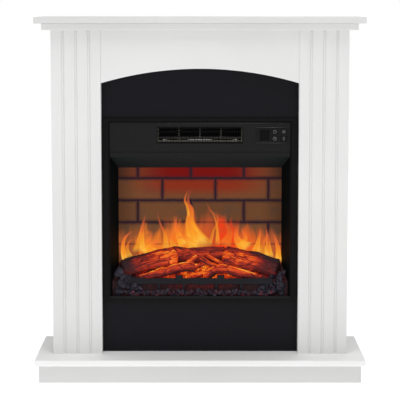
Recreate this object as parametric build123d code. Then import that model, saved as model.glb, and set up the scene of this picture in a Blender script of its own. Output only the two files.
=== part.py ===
from build123d import *
import os

# A free-standing electric fireplace: a white board surround with an arched opening, and a black
# sheet-steel insert that holds a fan heater, a control panel, a flame projector and a log set.
# Millimetres. X to the right, -Y towards the room, +Z up. Origin: middle of the base.

# ---------------------------------------------------------------- surround
WIDTH = 800.0            # hearth board, the widest board
DEPTH = 290.0            # hearth board, front to wall
HEIGHT = 880.0
HEARTH_T = 15.0
PLINTH_H = 42.0
PLINTH_SET_IN = 10.0     # plinth behind the hearth board's nose, front and sides
BOARD_T = 18.0           # rails and bearers
PANEL_T = 15.0           # side panels, shelf and column wrap
SHELF_SET_IN = 2.5
SHELF_SET_BACK = 45.0    # shelf's front behind the hearth's front
MOULDING_T = 16.0
MOULDING_SET_IN = 20.0
MOULDING_SET_BACK = 58.0
BODY_SET_IN = 40.0       # columns' outer faces inside the hearth's ends
BODY_SET_BACK = 78.0     # columns' front behind the hearth's front
COLUMN_W = 120.0
COLUMN_DEPTH = 30.0      # wrap's return, which is also the recess of the black panel
FLUTE_PITCH = 31.5
FLUTE_COUNT = 3
FLUTE_W = 8.0
FLUTE_FLOOR_W = 3.0
FLUTE_DEPTH = 3.5
FRIEZE_MIN_H = 93.0      # white board above the arch's crown
ARCH_RISE = 35.0
FRIEZE_SET_BACK = 1.0
FRIEZE_T = 14.0
ARCH_LIP_T = 12.0
JOINT_GAP = 0.2          # between boards that only meet
EDGE_R = 1.5
NOSE_R = 4.0
RAIL_H = 60.0

# ---------------------------------------------------------------- black panel and insert
FASCIA_T = 6.0
FASCIA_LAP = 18.0        # panel behind the columns and above the arch
LOWER_PANEL_H = 124.0    # black panel showing under the insert's frame
UPPER_PANEL_H = 86.0     # and between the frame and the arch's springing
FRAME_GAP = 2.0          # frame to the columns
FRAME_T = 8.0
FRAME_SIDE_W = 18.0
FRAME_BOTTOM_W = 14.5
FRAME_TOP_W = 11.0
FRAME_BEVEL = 4.0
FRAME_LAP = 8.0          # frame over the edge of the panel's cut-out
CUTOUT_GAP = 1.0
SHEET_T = 1.2
CASE_TO_WALL = 17.0
FLANGE_W = 12.0
HEADER_H = 83.0
HEADER_T = 4.0
FACE_GAP = 0.2           # grille, window and cover in their openings
BAND_H = 11.5            # two stepped bands over the window
BAND_PROUD = 2.0
BAND_GROOVE = 1.0
OUTLET_H = 41.0
OUTLET_RIM = 2.5
OUTLET_ABOVE_HEADER = 32.0
FIN_PITCH = 6.5
FIN_T = 1.2
FIN_DEPTH = 8.0
CONTROL_END_GAP = 2.8    # control panel to the header's right end
CONTROL_T = 3.0
CONTROL_FLANGE = 2.0
CONTROL_PROUD = 1.0
CONTROL_TO_OUTLET = 31.0
DISPLAY_W = 25.0
DISPLAY_H = 27.0
DISPLAY_INSET = 9.0
KEY_W = 15.0
KEY_H = 12.0
KEY_GAP = 0.4
KEY_SPACE_X = 7.0        # between neighbouring keys, with room for a post
KEY_SPACE_Z = 5.0
KEY_TO_DISPLAY = 4.5
KEY_MARGIN_X = 5.5       # keys to the control panel's edge
KEY_MARGIN_Z = 4.5
KEY_TRAVEL = 0.8
KEY_PROUD = 1.2
KEY_FLANGE = 1.2
KEY_STOP_GAP = 0.1       # lug to the cover at rest
KEY_STEM_R = 1.6
BOARD_BACK = 12.0        # display board behind the control panel's front
PCB_T = 1.6
SWITCH_H = 3.5
POST_R = 2.5
POST_INSET = 6.0         # cover's posts inside its edges
SWITCH_W = 6.0

# ---------------------------------------------------------------- fire cavity
MECH_D = 68.0            # flame projector's room behind the screen
SPLAY = 15.5             # each cheek closes in by this much at the screen
HOOD_DROP = 37.0
SCREEN_T = 3.0
SCREEN_LAP = 4.0
TEMPLATE_SLOTS = 7
SLOT_W = 18.0
SPINDLE_R = 2.5
SPINDLE_RISE = 72.0      # spindle's axis over the case's floor
SPINDLE_FROM_SCREEN = 36.0
SPINDLE_END_GAP = 10.0   # spindle's ends inside the cheeks' rear edges
MOTOR_PLATE_SET_IN = 6.0
SPINDLE_MOTOR_LAP = 4.0  # motor over the spindle's end
FLAG_R = 22.0
FLAG_W = 14.0
FLAG_T = 0.6
FLAG_ROWS = 12
FLAG_BLADES = 3
SHAFT_GAP = 0.06         # running clearance of the two rotors' shafts
SPINDLE_MOTOR_R = 24.0
SPINDLE_MOTOR_L = 20.0
BRACKET_T = 2.0
BRACKET_REACH = 15.0     # spindle's bracket round its axis
BUSH_R = 5.0
BED_FRONT_H = 38.0       # ember bed over the case's floor, front and rear
BED_REAR_H = 76.0
BED_SET_BACK = 18.0
BED_T = 3.0
BED_GAP = 0.5
GRATE_H = 18.0
GRATE_T = 6.0
GRATE_RISE = 31.0
GRATE_SET_BACK = 10.0
GRATE_LUG_W = 20.0
GRATE_LUG_H = 6.0
GRATE_LEG_W = 8.0
COAL_END_W = 34.0
COAL_END_H = 68.0
COAL_STRIP_H = 20.0
COAL_STRIP_T = 7.0
LOG_RISE = 60.0          # outer ends of the big logs over the case's floor
LOG_CLIMB = 30.0         # inner ends over the outer ends
BRANCH_DROP = 12.0       # front branches' outer ends under the logs' outer ends
BRANCH_TIP_X = 14.0
LAMP_PITCH = 30.0
LAMP_SIZE = 5.0
LAMP_H = 2.0
LAMP_BOARD_W = 12.0

# ---------------------------------------------------------------- heater
WHEEL_R = 18.5
WHEEL_GAP = 3.0
WHEEL_BLADES = 18
WHEEL_BLADE_T = 0.8
WHEEL_BLADE_W = 7.0
WHEEL_BLADE_TILT = 28.0
WHEEL_DISC_T = 1.5
WHEEL_SHAFT_R = 3.0
WHEEL_FROM_FRONT = 85.0
DUCT_TO_GRILLE = 4.0
HEATER_D = 18.0
HEATER_WALL = 2.0
HEATER_END_GAP = 4.0     # heater's front behind the duct's mouth
HEATER_BAR_T = 2.0
HEATER_BAR_RISES = (5.0, 13.0)   # bars over the outlet's lower edge
DUCT_TAB_W = 16.0
DUCT_TAB_L = 20.0
STATOR_W = 50.0
STATOR_H = 44.0
STATOR_L = 20.0
ROTOR_R = 11.0
ROTOR_GAP = 0.6
MOTOR_STANDOFF = 12.0
STRAP_T = 1.5
STRAP_W = 16.0
HANGER_W = 6.0
HANGER_SPREAD = 18.0
CUTOUT_R = 8.0
CUTOUT_H = 6.0
CUTOUT_FROM_MOUTH = 40.0

# ---------------------------------------------------------------- fasteners and small parts
SCREW_R = 1.75
SCREW_HEAD_R = 3.5
SCREW_HEAD_H = 2.2
HOLE_GAP = 0.1           # radial clearance round screws
DOWEL_R = 4.0
DOWEL_L = 30.0
DOWEL_IN_BOARD = 11.0
DOWEL_END_GAP = 1.0
DOWEL_GAP = 0.05         # glue line round a dowel
BRACKET_LEG = 30.0
BRACKET_W = 20.0
GLAND_R = 6.3
GLAND_FLANGE_R = 9.0
GLAND_BORE_R = 3.6
VENT_W = 60.0
VENT_H = 4.0
VENT_PITCH = 10.0
VENT_ROWS = 6
GLAND_RISE = 30.0        # gland over the case's bottom
MAIN_BOARD_W = 80.0
MAIN_BOARD_H = 65.0
MAIN_BOARD_GAP = 7.0     # board to the back plate's flange

# ---------------------------------------------------------------- places worked out from the sizes
BACK_Y = DEPTH / 2
HEARTH_FRONT_Y = -DEPTH / 2
HEARTH_TOP = PLINTH_H + HEARTH_T
SHELF_BOTTOM = HEIGHT - PANEL_T
COLUMN_TOP = SHELF_BOTTOM - MOULDING_T
BODY_X = WIDTH / 2 - BODY_SET_IN
OPENING_X = BODY_X - COLUMN_W
BODY_FRONT_Y = HEARTH_FRONT_Y + BODY_SET_BACK
FASCIA_Y = BODY_FRONT_Y + COLUMN_DEPTH
FASCIA_BACK_Y = FASCIA_Y + FASCIA_T
PANEL_IN_X = BODY_X - PANEL_T
CROWN_Z = COLUMN_TOP - FRIEZE_MIN_H
SPRING_Z = CROWN_Z - ARCH_RISE
ARCH_R = (OPENING_X**2 + ARCH_RISE**2) / (2 * ARCH_RISE)

FRAME_X = OPENING_X - FRAME_GAP
FRAME_BOTTOM = HEARTH_TOP + LOWER_PANEL_H
FRAME_TOP = SPRING_Z - UPPER_PANEL_H
FRAME_FRONT_Y = FASCIA_Y - FRAME_T
INNER_X = FRAME_X - FRAME_SIDE_W
INNER_BOTTOM = FRAME_BOTTOM + FRAME_BOTTOM_W
INNER_TOP = FRAME_TOP - FRAME_TOP_W
WINDOW_TOP = INNER_TOP - HEADER_H
CUTOUT_X = FRAME_X - FRAME_LAP
CASE_X = CUTOUT_X - CUTOUT_GAP
CASE_BOTTOM = FRAME_BOTTOM + FRAME_LAP
CASE_TOP = FRAME_TOP - FRAME_LAP
CASE_BACK_Y = BACK_Y - CASE_TO_WALL
FLOOR_Z = CASE_BOTTOM + SHEET_T
BACK_PLATE_Y = CASE_BACK_Y - SHEET_T
GLAND_X = 0.8 * CASE_X
GLAND_Z = CASE_BOTTOM + GLAND_RISE

SCREEN_Y = CASE_BACK_Y - MECH_D
CAVITY_D = SCREEN_Y - FASCIA_Y
CHEEK_FRONT_X = INNER_X
CHEEK_BACK_X = INNER_X - SPLAY
HOOD_BACK_Z = WINDOW_TOP - HOOD_DROP
TEMPLATE_Y = SCREEN_Y + SCREEN_T
SPINDLE_Y = SCREEN_Y + SPINDLE_FROM_SCREEN
SPINDLE_Z = FLOOR_Z + SPINDLE_RISE
SPINDLE_END_X = CHEEK_BACK_X - SPINDLE_END_GAP
MOTOR_PLATE_X = SPINDLE_END_X - MOTOR_PLATE_SET_IN
BED_LAMP_X = 0.8 * CHEEK_BACK_X
BED_FRONT_Y = FASCIA_Y + BED_SET_BACK
BED_BACK_Y = SCREEN_Y - BED_GAP
GRATE_Y = FASCIA_Y + GRATE_SET_BACK
GRATE_X = INNER_X - COAL_END_W - 3.0
LOG_R = CAVITY_D * 0.25

OUTLET_Z0 = WINDOW_TOP + OUTLET_ABOVE_HEADER
OUTLET_Z1 = OUTLET_Z0 + OUTLET_H
KEY_PITCH_X = KEY_W + KEY_SPACE_X
KEY_PITCH_Z = KEY_H + KEY_SPACE_Z
CONTROL_W = DISPLAY_INSET + DISPLAY_W + KEY_TO_DISPLAY + KEY_W + KEY_PITCH_X + KEY_MARGIN_X
CONTROL_H = KEY_H + KEY_PITCH_Z + 2 * KEY_MARGIN_Z
CONTROL_X1 = INNER_X - CONTROL_END_GAP
CONTROL_X0 = CONTROL_X1 - CONTROL_W
CONTROL_Z0 = OUTLET_Z0 + (OUTLET_H - CONTROL_H) / 2
OUTLET_X = CONTROL_X0 - CONTROL_TO_OUTLET
HEADER_FRONT_Y = FASCIA_Y - HEADER_T
CONTROL_FRONT_Y = HEADER_FRONT_Y - CONTROL_PROUD
CONTROL_BACK_Y = CONTROL_FRONT_Y + CONTROL_T
PCB_Y = CONTROL_FRONT_Y + BOARD_BACK
KEY_X = CONTROL_X1 - KEY_MARGIN_X - KEY_W / 2 - KEY_PITCH_X
KEY_Z = CONTROL_Z0 + CONTROL_H / 2 - KEY_PITCH_Z / 2
WHEEL_Z = (OUTLET_Z0 + OUTLET_Z1) / 2
WHEEL_Y = FASCIA_Y + WHEEL_FROM_FRONT
DUCT_Y = FASCIA_Y + DUCT_TO_GRILLE
DUCT_R = WHEEL_R + WHEEL_GAP
DUCT_X = OUTLET_X
WHEEL_X = DUCT_X - SHEET_T - WHEEL_GAP


# ---------------------------------------------------------------- shape helpers
def block(x0, x1, y0, y1, z0, z1):
    """A box between two corners."""
    return Pos((x0 + x1) / 2, (y0 + y1) / 2, (z0 + z1) / 2) * Box(x1 - x0, y1 - y0, z1 - z0)


def prism(points, run):
    """A flat outline of 3-D points, carried along the vector run."""
    return extrude(make_face(Polyline(*points, close=True)), amount=Vector(run).length, dir=run)


def prism_x(points_yz, x0, x1):
    return prism([(x0, y, z) for y, z in points_yz], (x1 - x0, 0, 0))


def prism_y(points_xz, y0, y1):
    return prism([(x, y0, z) for x, z in points_xz], (0, y1 - y0, 0))


def prism_z(points_xy, z0, z1):
    return prism([(x, y, z0) for x, y in points_xy], (0, 0, z1 - z0))


def rod_x(x0, x1, y, z, r):
    return Pos((x0 + x1) / 2, y, z) * Rot(0, 90, 0) * Cylinder(r, x1 - x0)


def rod_y(y0, y1, x, z, r):
    return Pos(x, (y0 + y1) / 2, z) * Rot(90, 0, 0) * Cylinder(r, y1 - y0)


def rod_z(z0, z1, x, y, r):
    return Pos(x, y, (z0 + z1) / 2) * Cylinder(r, z1 - z0)


def joined(shapes):
    """Several shapes fused into one."""
    first, *rest = shapes
    return first.fuse(*rest) if rest else first


def less(shape, tools):
    """A shape with tools cut away."""
    return shape.cut(*tools) if tools else shape


def group(shapes):
    """Separate solids that share one node."""
    return Compound(children=[solid for shape in shapes for solid in shape.solids()])


def both_sides(shape):
    """A right-hand piece and its mirror image: (left, right)."""
    return mirror(shape, about=Plane.YZ), shape


def screw(place, length):
    """A pan-head screw: its head's underside at the place's origin, its shank along -Z."""
    head = Pos(0, 0, SCREW_HEAD_H / 2) * Cylinder(SCREW_HEAD_R, SCREW_HEAD_H)
    slot = Pos(0, 0, SCREW_HEAD_H) * (Box(4, 0.8, 1.6) + Box(0.8, 4, 1.6))
    return place * (head - slot + Pos(0, 0, -length / 2) * Cylinder(SCREW_R, length))


def screw_hole(place, length):
    """The hole for such a screw, a little longer than its shank."""
    return place * Pos(0, 0, -length / 2) * Cylinder(SCREW_R + HOLE_GAP, length + 1)


# ---------------------------------------------------------------- where fasteners sit
FASCIA_SCREW_L = 16.0
CASE_SCREW_L = 8.0
WOOD_SCREW_L = 10.0
RETURN_MID_X = OPENING_X + PANEL_T / 2
FASCIA_SCREWS = [
    Pos(side * RETURN_MID_X, FASCIA_BACK_Y, HEARTH_TOP + share * (SPRING_Z - HEARTH_TOP)) * Rot(-90, 0, 0)
    for side in (-1, 1) for share in (0.08, 0.5, 0.92)
]
CASE_SCREW_SPOTS = (
    [(x, CASE_TOP - FLANGE_W / 2) for x in (-0.65 * CASE_X, 0, 0.65 * CASE_X)]
    + [(x, CASE_BOTTOM + FLANGE_W / 2) for x in (-0.65 * CASE_X, 0, 0.65 * CASE_X)]
    + [(side * (CASE_X - FLANGE_W / 2), CASE_BOTTOM + share * (CASE_TOP - CASE_BOTTOM))
       for side in (-1, 1) for share in (0.25, 0.5, 0.75)]
)
CASE_SCREWS = [Pos(x, CASE_BACK_Y, z) * Rot(-90, 0, 0) for x, z in CASE_SCREW_SPOTS]
BRACKET_Y = (BACK_Y - 120.0, BACK_Y - 40.0)
DOWEL_Y = (BACK_Y - 155.0, BACK_Y - 80.0)
BRACKET_SCREWS = [
    screw_place
    for side in (-1, 1) for y in BRACKET_Y
    for screw_place in (
        Pos(side * (PANEL_IN_X - BRACKET_T), y, COLUMN_TOP - BRACKET_LEG * 0.6) * Rot(0, -90 * side, 0),
        Pos(side * (PANEL_IN_X - BRACKET_LEG * 0.6), y, COLUMN_TOP - BRACKET_T) * Rot(180, 0, 0),
    )
]
DOWELS = [
    (side * (BODY_X - PANEL_T / 2), y, z0)
    for side in (-1, 1) for y in DOWEL_Y
    for z0 in (HEARTH_TOP - DOWEL_IN_BOARD, COLUMN_TOP + DOWEL_IN_BOARD - DOWEL_L)
]


def dowel_holes():
    return [rod_z(z - DOWEL_END_GAP, z + DOWEL_L + DOWEL_END_GAP, x, y, DOWEL_R + DOWEL_GAP)
            for x, y, z in DOWELS]


# ---------------------------------------------------------------- surround
def eased(board, radius):
    """A board with the edges along its front and ends rounded."""
    edges = board.edges().filter_by(Axis.X) + board.edges().filter_by(Axis.Y)
    front_and_ends = [e for e in edges if abs(e.center().Y - board.bounding_box().max.Y) > 0.01]
    return fillet(front_and_ends, radius)


def plinth():
    x, y0 = WIDTH / 2 - PLINTH_SET_IN, HEARTH_FRONT_Y + PLINTH_SET_IN
    return {
        "plinth_front": block(-x, x, y0, y0 + BOARD_T, 0, PLINTH_H),
        "plinth_ends": group(both_sides(block(x - BOARD_T, x, y0 + BOARD_T, BACK_Y, 0, PLINTH_H))),
        "plinth_back": block(-x + BOARD_T, x - BOARD_T, BACK_Y - BOARD_T, BACK_Y, 0, PLINTH_H),
    }


def hearth_board():
    x = WIDTH / 2
    return less(eased(block(-x, x, HEARTH_FRONT_Y, BACK_Y, PLINTH_H, HEARTH_TOP), NOSE_R), dowel_holes())


def column_right():
    """A U-shaped wrap: a fluted face with a return down each side."""
    x0, x1, y0, y1 = OPENING_X, BODY_X, BODY_FRONT_Y, FASCIA_Y
    outline = [(x0, y0), (x1, y0), (x1, y1), (x1 - PANEL_T, y1), (x1 - PANEL_T, y0 + PANEL_T),
               (x0 + PANEL_T, y0 + PANEL_T), (x0 + PANEL_T, y1), (x0, y1)]
    wrap = prism_z(outline, HEARTH_TOP, COLUMN_TOP)
    flutes = []
    for i in range(FLUTE_COUNT):
        x = (x0 + x1) / 2 + (i - (FLUTE_COUNT - 1) / 2) * FLUTE_PITCH
        section = [(x - FLUTE_W / 2, y0), (x + FLUTE_W / 2, y0),
                   (x + FLUTE_FLOOR_W / 2, y0 + FLUTE_DEPTH), (x - FLUTE_FLOOR_W / 2, y0 + FLUTE_DEPTH)]
        flutes.append(prism_z(section, HEARTH_TOP, COLUMN_TOP))
    holes = [screw_hole(p, FASCIA_SCREW_L) for p in FASCIA_SCREWS]
    return less(wrap, flutes + holes)


def side_panel_right():
    panel = block(PANEL_IN_X, BODY_X, FASCIA_Y, BACK_Y, HEARTH_TOP, COLUMN_TOP)
    return less(panel, dowel_holes() + [screw_hole(p, WOOD_SCREW_L) for p in BRACKET_SCREWS])


def frieze_panel():
    """The board over the arch, with a lip round the arch that meets the black panel."""
    x = OPENING_X - JOINT_GAP
    y0 = BODY_FRONT_Y + FRIEZE_SET_BACK
    board = block(-x, x, y0, y0 + FRIEZE_T, SPRING_Z, COLUMN_TOP)
    centre_z = CROWN_Z - ARCH_R
    lip = rod_y(y0, FASCIA_Y - JOINT_GAP, 0, centre_z, ARCH_R + ARCH_LIP_T)
    lip = lip & block(-x, x, y0, BACK_Y, SPRING_Z, COLUMN_TOP)
    return less(joined([board, lip]), [rod_y(HEARTH_FRONT_Y, BACK_Y, 0, centre_z, ARCH_R)])


def bed_moulding():
    x = WIDTH / 2 - MOULDING_SET_IN
    board = block(-x, x, HEARTH_FRONT_Y + MOULDING_SET_BACK, BACK_Y, COLUMN_TOP, SHELF_BOTTOM)
    return less(eased(board, EDGE_R), dowel_holes() + [screw_hole(p, WOOD_SCREW_L) for p in BRACKET_SCREWS])


def mantel_shelf():
    x = WIDTH / 2 - SHELF_SET_IN
    return eased(block(-x, x, HEARTH_FRONT_Y + SHELF_SET_BACK, BACK_Y, SHELF_BOTTOM, HEIGHT), EDGE_R)


def surround():
    left_column, right_column = both_sides(column_right())
    left_panel, right_panel = both_sides(side_panel_right())
    x, y0 = PANEL_IN_X, BACK_Y - PANEL_T
    cleat = block(x - BOARD_T, x, FASCIA_BACK_Y + 10, CASE_BACK_Y, CASE_BOTTOM - PANEL_T - BOARD_T,
                  CASE_BOTTOM - PANEL_T)
    return plinth() | {
        "hearth_board": hearth_board(),
        "column_left": left_column,
        "column_right": right_column,
        "side_panel_left": left_panel,
        "side_panel_right": right_panel,
        "frieze_panel": frieze_panel(),
        "bed_moulding": bed_moulding(),
        "mantel_shelf": mantel_shelf(),
        "back_rails": group([block(-x, x, y0, BACK_Y, z, z + RAIL_H)
                             for z in (HEARTH_TOP, COLUMN_TOP - RAIL_H)]),
        "insert_shelf": block(-x, x, FASCIA_BACK_Y, CASE_BACK_Y, CASE_BOTTOM - PANEL_T, CASE_BOTTOM),
        "shelf_cleats": group(both_sides(cleat)),
    }


def fascia_panel():
    """The black panel behind the arch, cut out for the insert."""
    x = OPENING_X + FASCIA_LAP
    panel = block(-x, x, FASCIA_Y, FASCIA_BACK_Y, HEARTH_TOP, CROWN_Z + FASCIA_LAP)
    cutout = block(-CUTOUT_X, CUTOUT_X, FASCIA_Y - 1, FASCIA_BACK_Y + 1, CASE_BOTTOM, CASE_TOP + CUTOUT_GAP)
    return less(panel, [cutout] + [screw_hole(p, FASCIA_SCREW_L) for p in FASCIA_SCREWS])


def surround_fasteners():
    brackets = []
    for side in (-1, 1):
        for y in BRACKET_Y:
            x, z, leg, t = PANEL_IN_X, COLUMN_TOP, BRACKET_LEG, BRACKET_T
            outline = [(x, z), (x - leg, z), (x - leg, z - t), (x - t, z - t), (x - t, z - leg), (x, z - leg)]
            outline = [(side * px, pz) for px, pz in outline]
            brackets.append(prism_y(outline, y - BRACKET_W / 2, y + BRACKET_W / 2))
    holes = [screw_hole(p, WOOD_SCREW_L) for p in BRACKET_SCREWS]
    return {
        "corner_brackets": group([less(b, holes) for b in brackets]),
        "wood_screws": group([screw(p, WOOD_SCREW_L) for p in BRACKET_SCREWS]
                             + [screw(p, FASCIA_SCREW_L) for p in FASCIA_SCREWS]),
        "dowels": group([rod_z(z, z + DOWEL_L, x, y, DOWEL_R) for x, y, z in DOWELS]),
    }


# ---------------------------------------------------------------- insert's case and face
def case_shell():
    """Sheet-steel case: a wrap over top and sides, a floor and a back plate."""
    x, y0, y1 = CASE_X, FASCIA_Y, BACK_PLATE_Y
    outer = block(-x, x, y0, y1, CASE_BOTTOM, CASE_TOP)
    hollow = block(-x + SHEET_T, x - SHEET_T, y0, y1 - SHEET_T, CASE_BOTTOM, CASE_TOP - SHEET_T)
    rear_opening = block(-x + FLANGE_W, x - FLANGE_W, y0, y1, CASE_BOTTOM, CASE_TOP - FLANGE_W)
    holes = [screw_hole(p, CASE_SCREW_L) for p in CASE_SCREWS]
    flange_x = x - FLANGE_W - JOINT_GAP
    floor = joined([
        block(-x + SHEET_T, x - SHEET_T, y0, y1, CASE_BOTTOM, FLOOR_Z),
        block(-flange_x, flange_x, y1 - SHEET_T, y1, CASE_BOTTOM, CASE_BOTTOM + FLANGE_W),
    ])
    floor = less(floor, [block(s * (x - FLANGE_W / 2) - FLANGE_W / 2, s * (x - FLANGE_W / 2) + FLANGE_W / 2,
                               y1 - SHEET_T, y1, CASE_BOTTOM, CASE_TOP) for s in (-1, 1)])
    back = block(-x, x, BACK_PLATE_Y, CASE_BACK_Y, CASE_BOTTOM, CASE_TOP)
    vents = [
        block(cx - VENT_W / 2, cx + VENT_W / 2, y1 - 1, CASE_BACK_Y + 1, z, z + VENT_H)
        for cx in (-0.5 * x, 0, 0.5 * x)
        for z in [WHEEL_Z - WHEEL_R + i * VENT_PITCH - VENT_PITCH for i in range(VENT_ROWS)]
        if z + VENT_H < CASE_TOP - FLANGE_W
    ]
    gland_hole = rod_y(y1 - 1, CASE_BACK_Y + 1, GLAND_X, GLAND_Z, GLAND_R + HOLE_GAP)
    return {
        "case_wrap": less(outer, [hollow, rear_opening] + holes),
        "case_floor": less(floor, holes),
        "case_back": less(back, holes + vents + [gland_hole]),
        "case_screws": group([screw(p, CASE_SCREW_L) for p in CASE_SCREWS]),
    }


def cable_gland():
    """The inlet for the mains lead: a flanged sleeve through the back plate, held by a nut inside."""
    body = rod_y(BACK_PLATE_Y - 8, CASE_BACK_Y, GLAND_X, GLAND_Z, GLAND_R)
    flange = rod_y(CASE_BACK_Y, CASE_BACK_Y + 3, GLAND_X, GLAND_Z, GLAND_FLANGE_R)
    nose = Pos(GLAND_X, CASE_BACK_Y + 7, GLAND_Z) * Rot(-90, 0, 0) * Cone(7.5, 5.5, 8)
    nut_y = BACK_PLATE_Y - 4
    nut = Pos(GLAND_X, nut_y, GLAND_Z) * Rot(90, 0, 0) * extrude(RegularPolygon(9, 6), amount=4)
    nut = Pos(0, BACK_PLATE_Y - nut.bounding_box().max.Y, 0) * nut
    return less(joined([body, flange, nose, nut]),
                [rod_y(BACK_PLATE_Y - 20, BACK_Y, GLAND_X, GLAND_Z, GLAND_BORE_R)])


def front_frame():
    """The frame round the window and header, bevelled towards the window."""
    ring = less(block(-FRAME_X, FRAME_X, FRAME_FRONT_Y, FASCIA_Y, FRAME_BOTTOM, FRAME_TOP),
                [block(-INNER_X, INNER_X, FRAME_FRONT_Y - 1, FASCIA_Y + 1, INNER_BOTTOM, INNER_TOP)])
    inner = [e for e in ring.edges() if abs(e.center().Y - FRAME_FRONT_Y) < 0.01
             and abs(e.center().X) < INNER_X + 0.01
             and INNER_BOTTOM - 0.01 < e.center().Z < INNER_TOP + 0.01]
    return chamfer(inner, FRAME_BEVEL)


def header_panel():
    """The plate over the window, with two stepped bands, cut out for the outlet and the controls."""
    x, y0, z0 = INNER_X, HEADER_FRONT_Y, WINDOW_TOP
    z1, z2 = z0 + BAND_H, z0 + 2 * BAND_H
    outline = [(FASCIA_Y, z0), (y0 - BAND_PROUD, z0),
               (y0 - BAND_PROUD, z1 - BAND_GROOVE), (y0, z1 - BAND_GROOVE), (y0, z1),
               (y0 - BAND_PROUD / 2, z1), (y0 - BAND_PROUD / 2, z2), (y0, z2 + BAND_GROOVE),
               (y0, INNER_TOP), (FASCIA_Y, INNER_TOP)]
    grille_hole = block(-OUTLET_X - FACE_GAP, OUTLET_X + FACE_GAP, y0 - 1, FASCIA_Y + 1,
                        OUTLET_Z0 - FACE_GAP, OUTLET_Z1 + FACE_GAP)
    f = CONTROL_FLANGE
    control_hole = block(CONTROL_X0 + f, CONTROL_X1 - f, y0 - 1, FASCIA_Y + 1,
                         CONTROL_Z0 + f, CONTROL_Z0 + CONTROL_H - f)
    return less(prism_x(outline, -x, x), [grille_hole, control_hole])


def outlet_grille():
    """The warm-air outlet: upright fins on two cross bars, in a rim with a flange behind the header."""
    y0, r, z0, z1 = HEADER_FRONT_Y, OUTLET_RIM, OUTLET_Z0, OUTLET_Z1
    rim = less(block(-OUTLET_X, OUTLET_X, y0, FASCIA_Y, z0, z1),
               [block(-OUTLET_X + r, OUTLET_X - r, y0 - 1, FASCIA_Y + 1, z0 + r, z1 - r)])
    count = int((2 * (OUTLET_X - r)) / FIN_PITCH)
    fins = [block(x - FIN_T / 2, x + FIN_T / 2, y0 + 0.5, y0 + FIN_DEPTH, z0 + r / 2, z1 - r / 2)
            for x in [(i - (count - 1) / 2) * FIN_PITCH for i in range(count)]]
    bars = [block(-OUTLET_X + r / 2, OUTLET_X - r / 2, FASCIA_Y - 2, FASCIA_Y - 1, z, z + 1.5)
            for z in (z0 + OUTLET_H * share for share in (0.33, 0.67))]
    flange = less(block(-OUTLET_X - r, OUTLET_X + r, FASCIA_Y, FASCIA_Y + SHEET_T, z0 - r, z1 + r),
                  [block(-OUTLET_X + r, OUTLET_X - r, y0, FASCIA_Y + 2, z0 + r, z1 - r)])
    return joined([rim, flange] + fins + bars)


def key_places():
    """Middle of each control key on the panel, by what it does."""
    names = ["key_power", "key_heat", "key_timer", "key_flame"]
    spots = [(col, row) for row in (1, 0) for col in (0, 1)]
    return {n: (KEY_X + c * KEY_PITCH_X, KEY_Z + r * KEY_PITCH_Z) for n, (c, r) in zip(names, spots)}


def control_panel():
    """Cover, display window, display board and keys, at the header's right end."""
    x0, x1, z0, z1 = CONTROL_X0, CONTROL_X1, CONTROL_Z0, CONTROL_Z0 + CONTROL_H
    f, yf, yb = CONTROL_FLANGE, CONTROL_FRONT_Y, CONTROL_BACK_Y
    plate = block(x0, x1, yf, HEADER_FRONT_Y, z0, z1)
    g = FACE_GAP
    core = block(x0 + f + g, x1 - f - g, yf, yb, z0 + f + g, z1 - f - g)
    post_places = [(x, z) for x in (x0 + POST_INSET, KEY_X + KEY_PITCH_X / 2)
                   for z in (z0 + POST_INSET, z1 - POST_INSET)]
    posts = [rod_y(yf + 1, PCB_Y, x, z, POST_R) for x, z in post_places]
    dx0, dx1 = x0 + DISPLAY_INSET, x0 + DISPLAY_INSET + DISPLAY_W
    dz0 = z0 + CONTROL_H / 2 - DISPLAY_H / 2
    dz1 = dz0 + DISPLAY_H
    display_hole = block(dx0, dx1, yf - 1, yb + 1, dz0, dz1)
    places = key_places()
    key_holes = [block(x - KEY_W / 2, x + KEY_W / 2, yf - 1, yb + 1, z - KEY_H / 2, z + KEY_H / 2)
                 for x, z in places.values()]
    board_x0, board_x1 = x0 + f + 1, x1 - f - 0.2
    board = block(board_x0, board_x1, PCB_Y, PCB_Y + PCB_T, z0 + f + 0.5, z1 - f - 0.5)
    s = SWITCH_W / 2
    switches = [block(x - s, x + s, PCB_Y - SWITCH_H, PCB_Y, z - s, z + s) for x, z in places.values()]
    module = block(dx0 + 1, dx1 - 1, yb + 0.5, PCB_Y, dz0 + 1, dz1 - 1)
    parts = {
        "control_cover": less(joined([plate, core] + posts), [display_hole] + key_holes),
        "display_window": block(dx0 + g, dx1 - g, yf + 0.3, yb + 0.5, dz0 + g, dz1 - g),
        "display_board": joined([board, module] + switches),
    }
    for name, (x, z) in places.items():
        w, h = KEY_W / 2 - KEY_GAP, KEY_H / 2 - KEY_GAP
        back = yb + KEY_STOP_GAP
        cap = block(x - w, x + w, yf - KEY_PROUD, back, z - h, z + h)
        front = [e for e in cap.edges() if abs(e.center().Y - (yf - KEY_PROUD)) < 0.01]
        cap = fillet(front, 0.5)
        lug = block(x - w - 1, x + w + 1, back, back + KEY_FLANGE, z - h - 1, z + h + 1)
        stem = rod_y(back, PCB_Y - SWITCH_H - KEY_TRAVEL - 0.2, x, z, KEY_STEM_R)
        parts[name] = joined([cap, lug, stem])
    return parts


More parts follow.
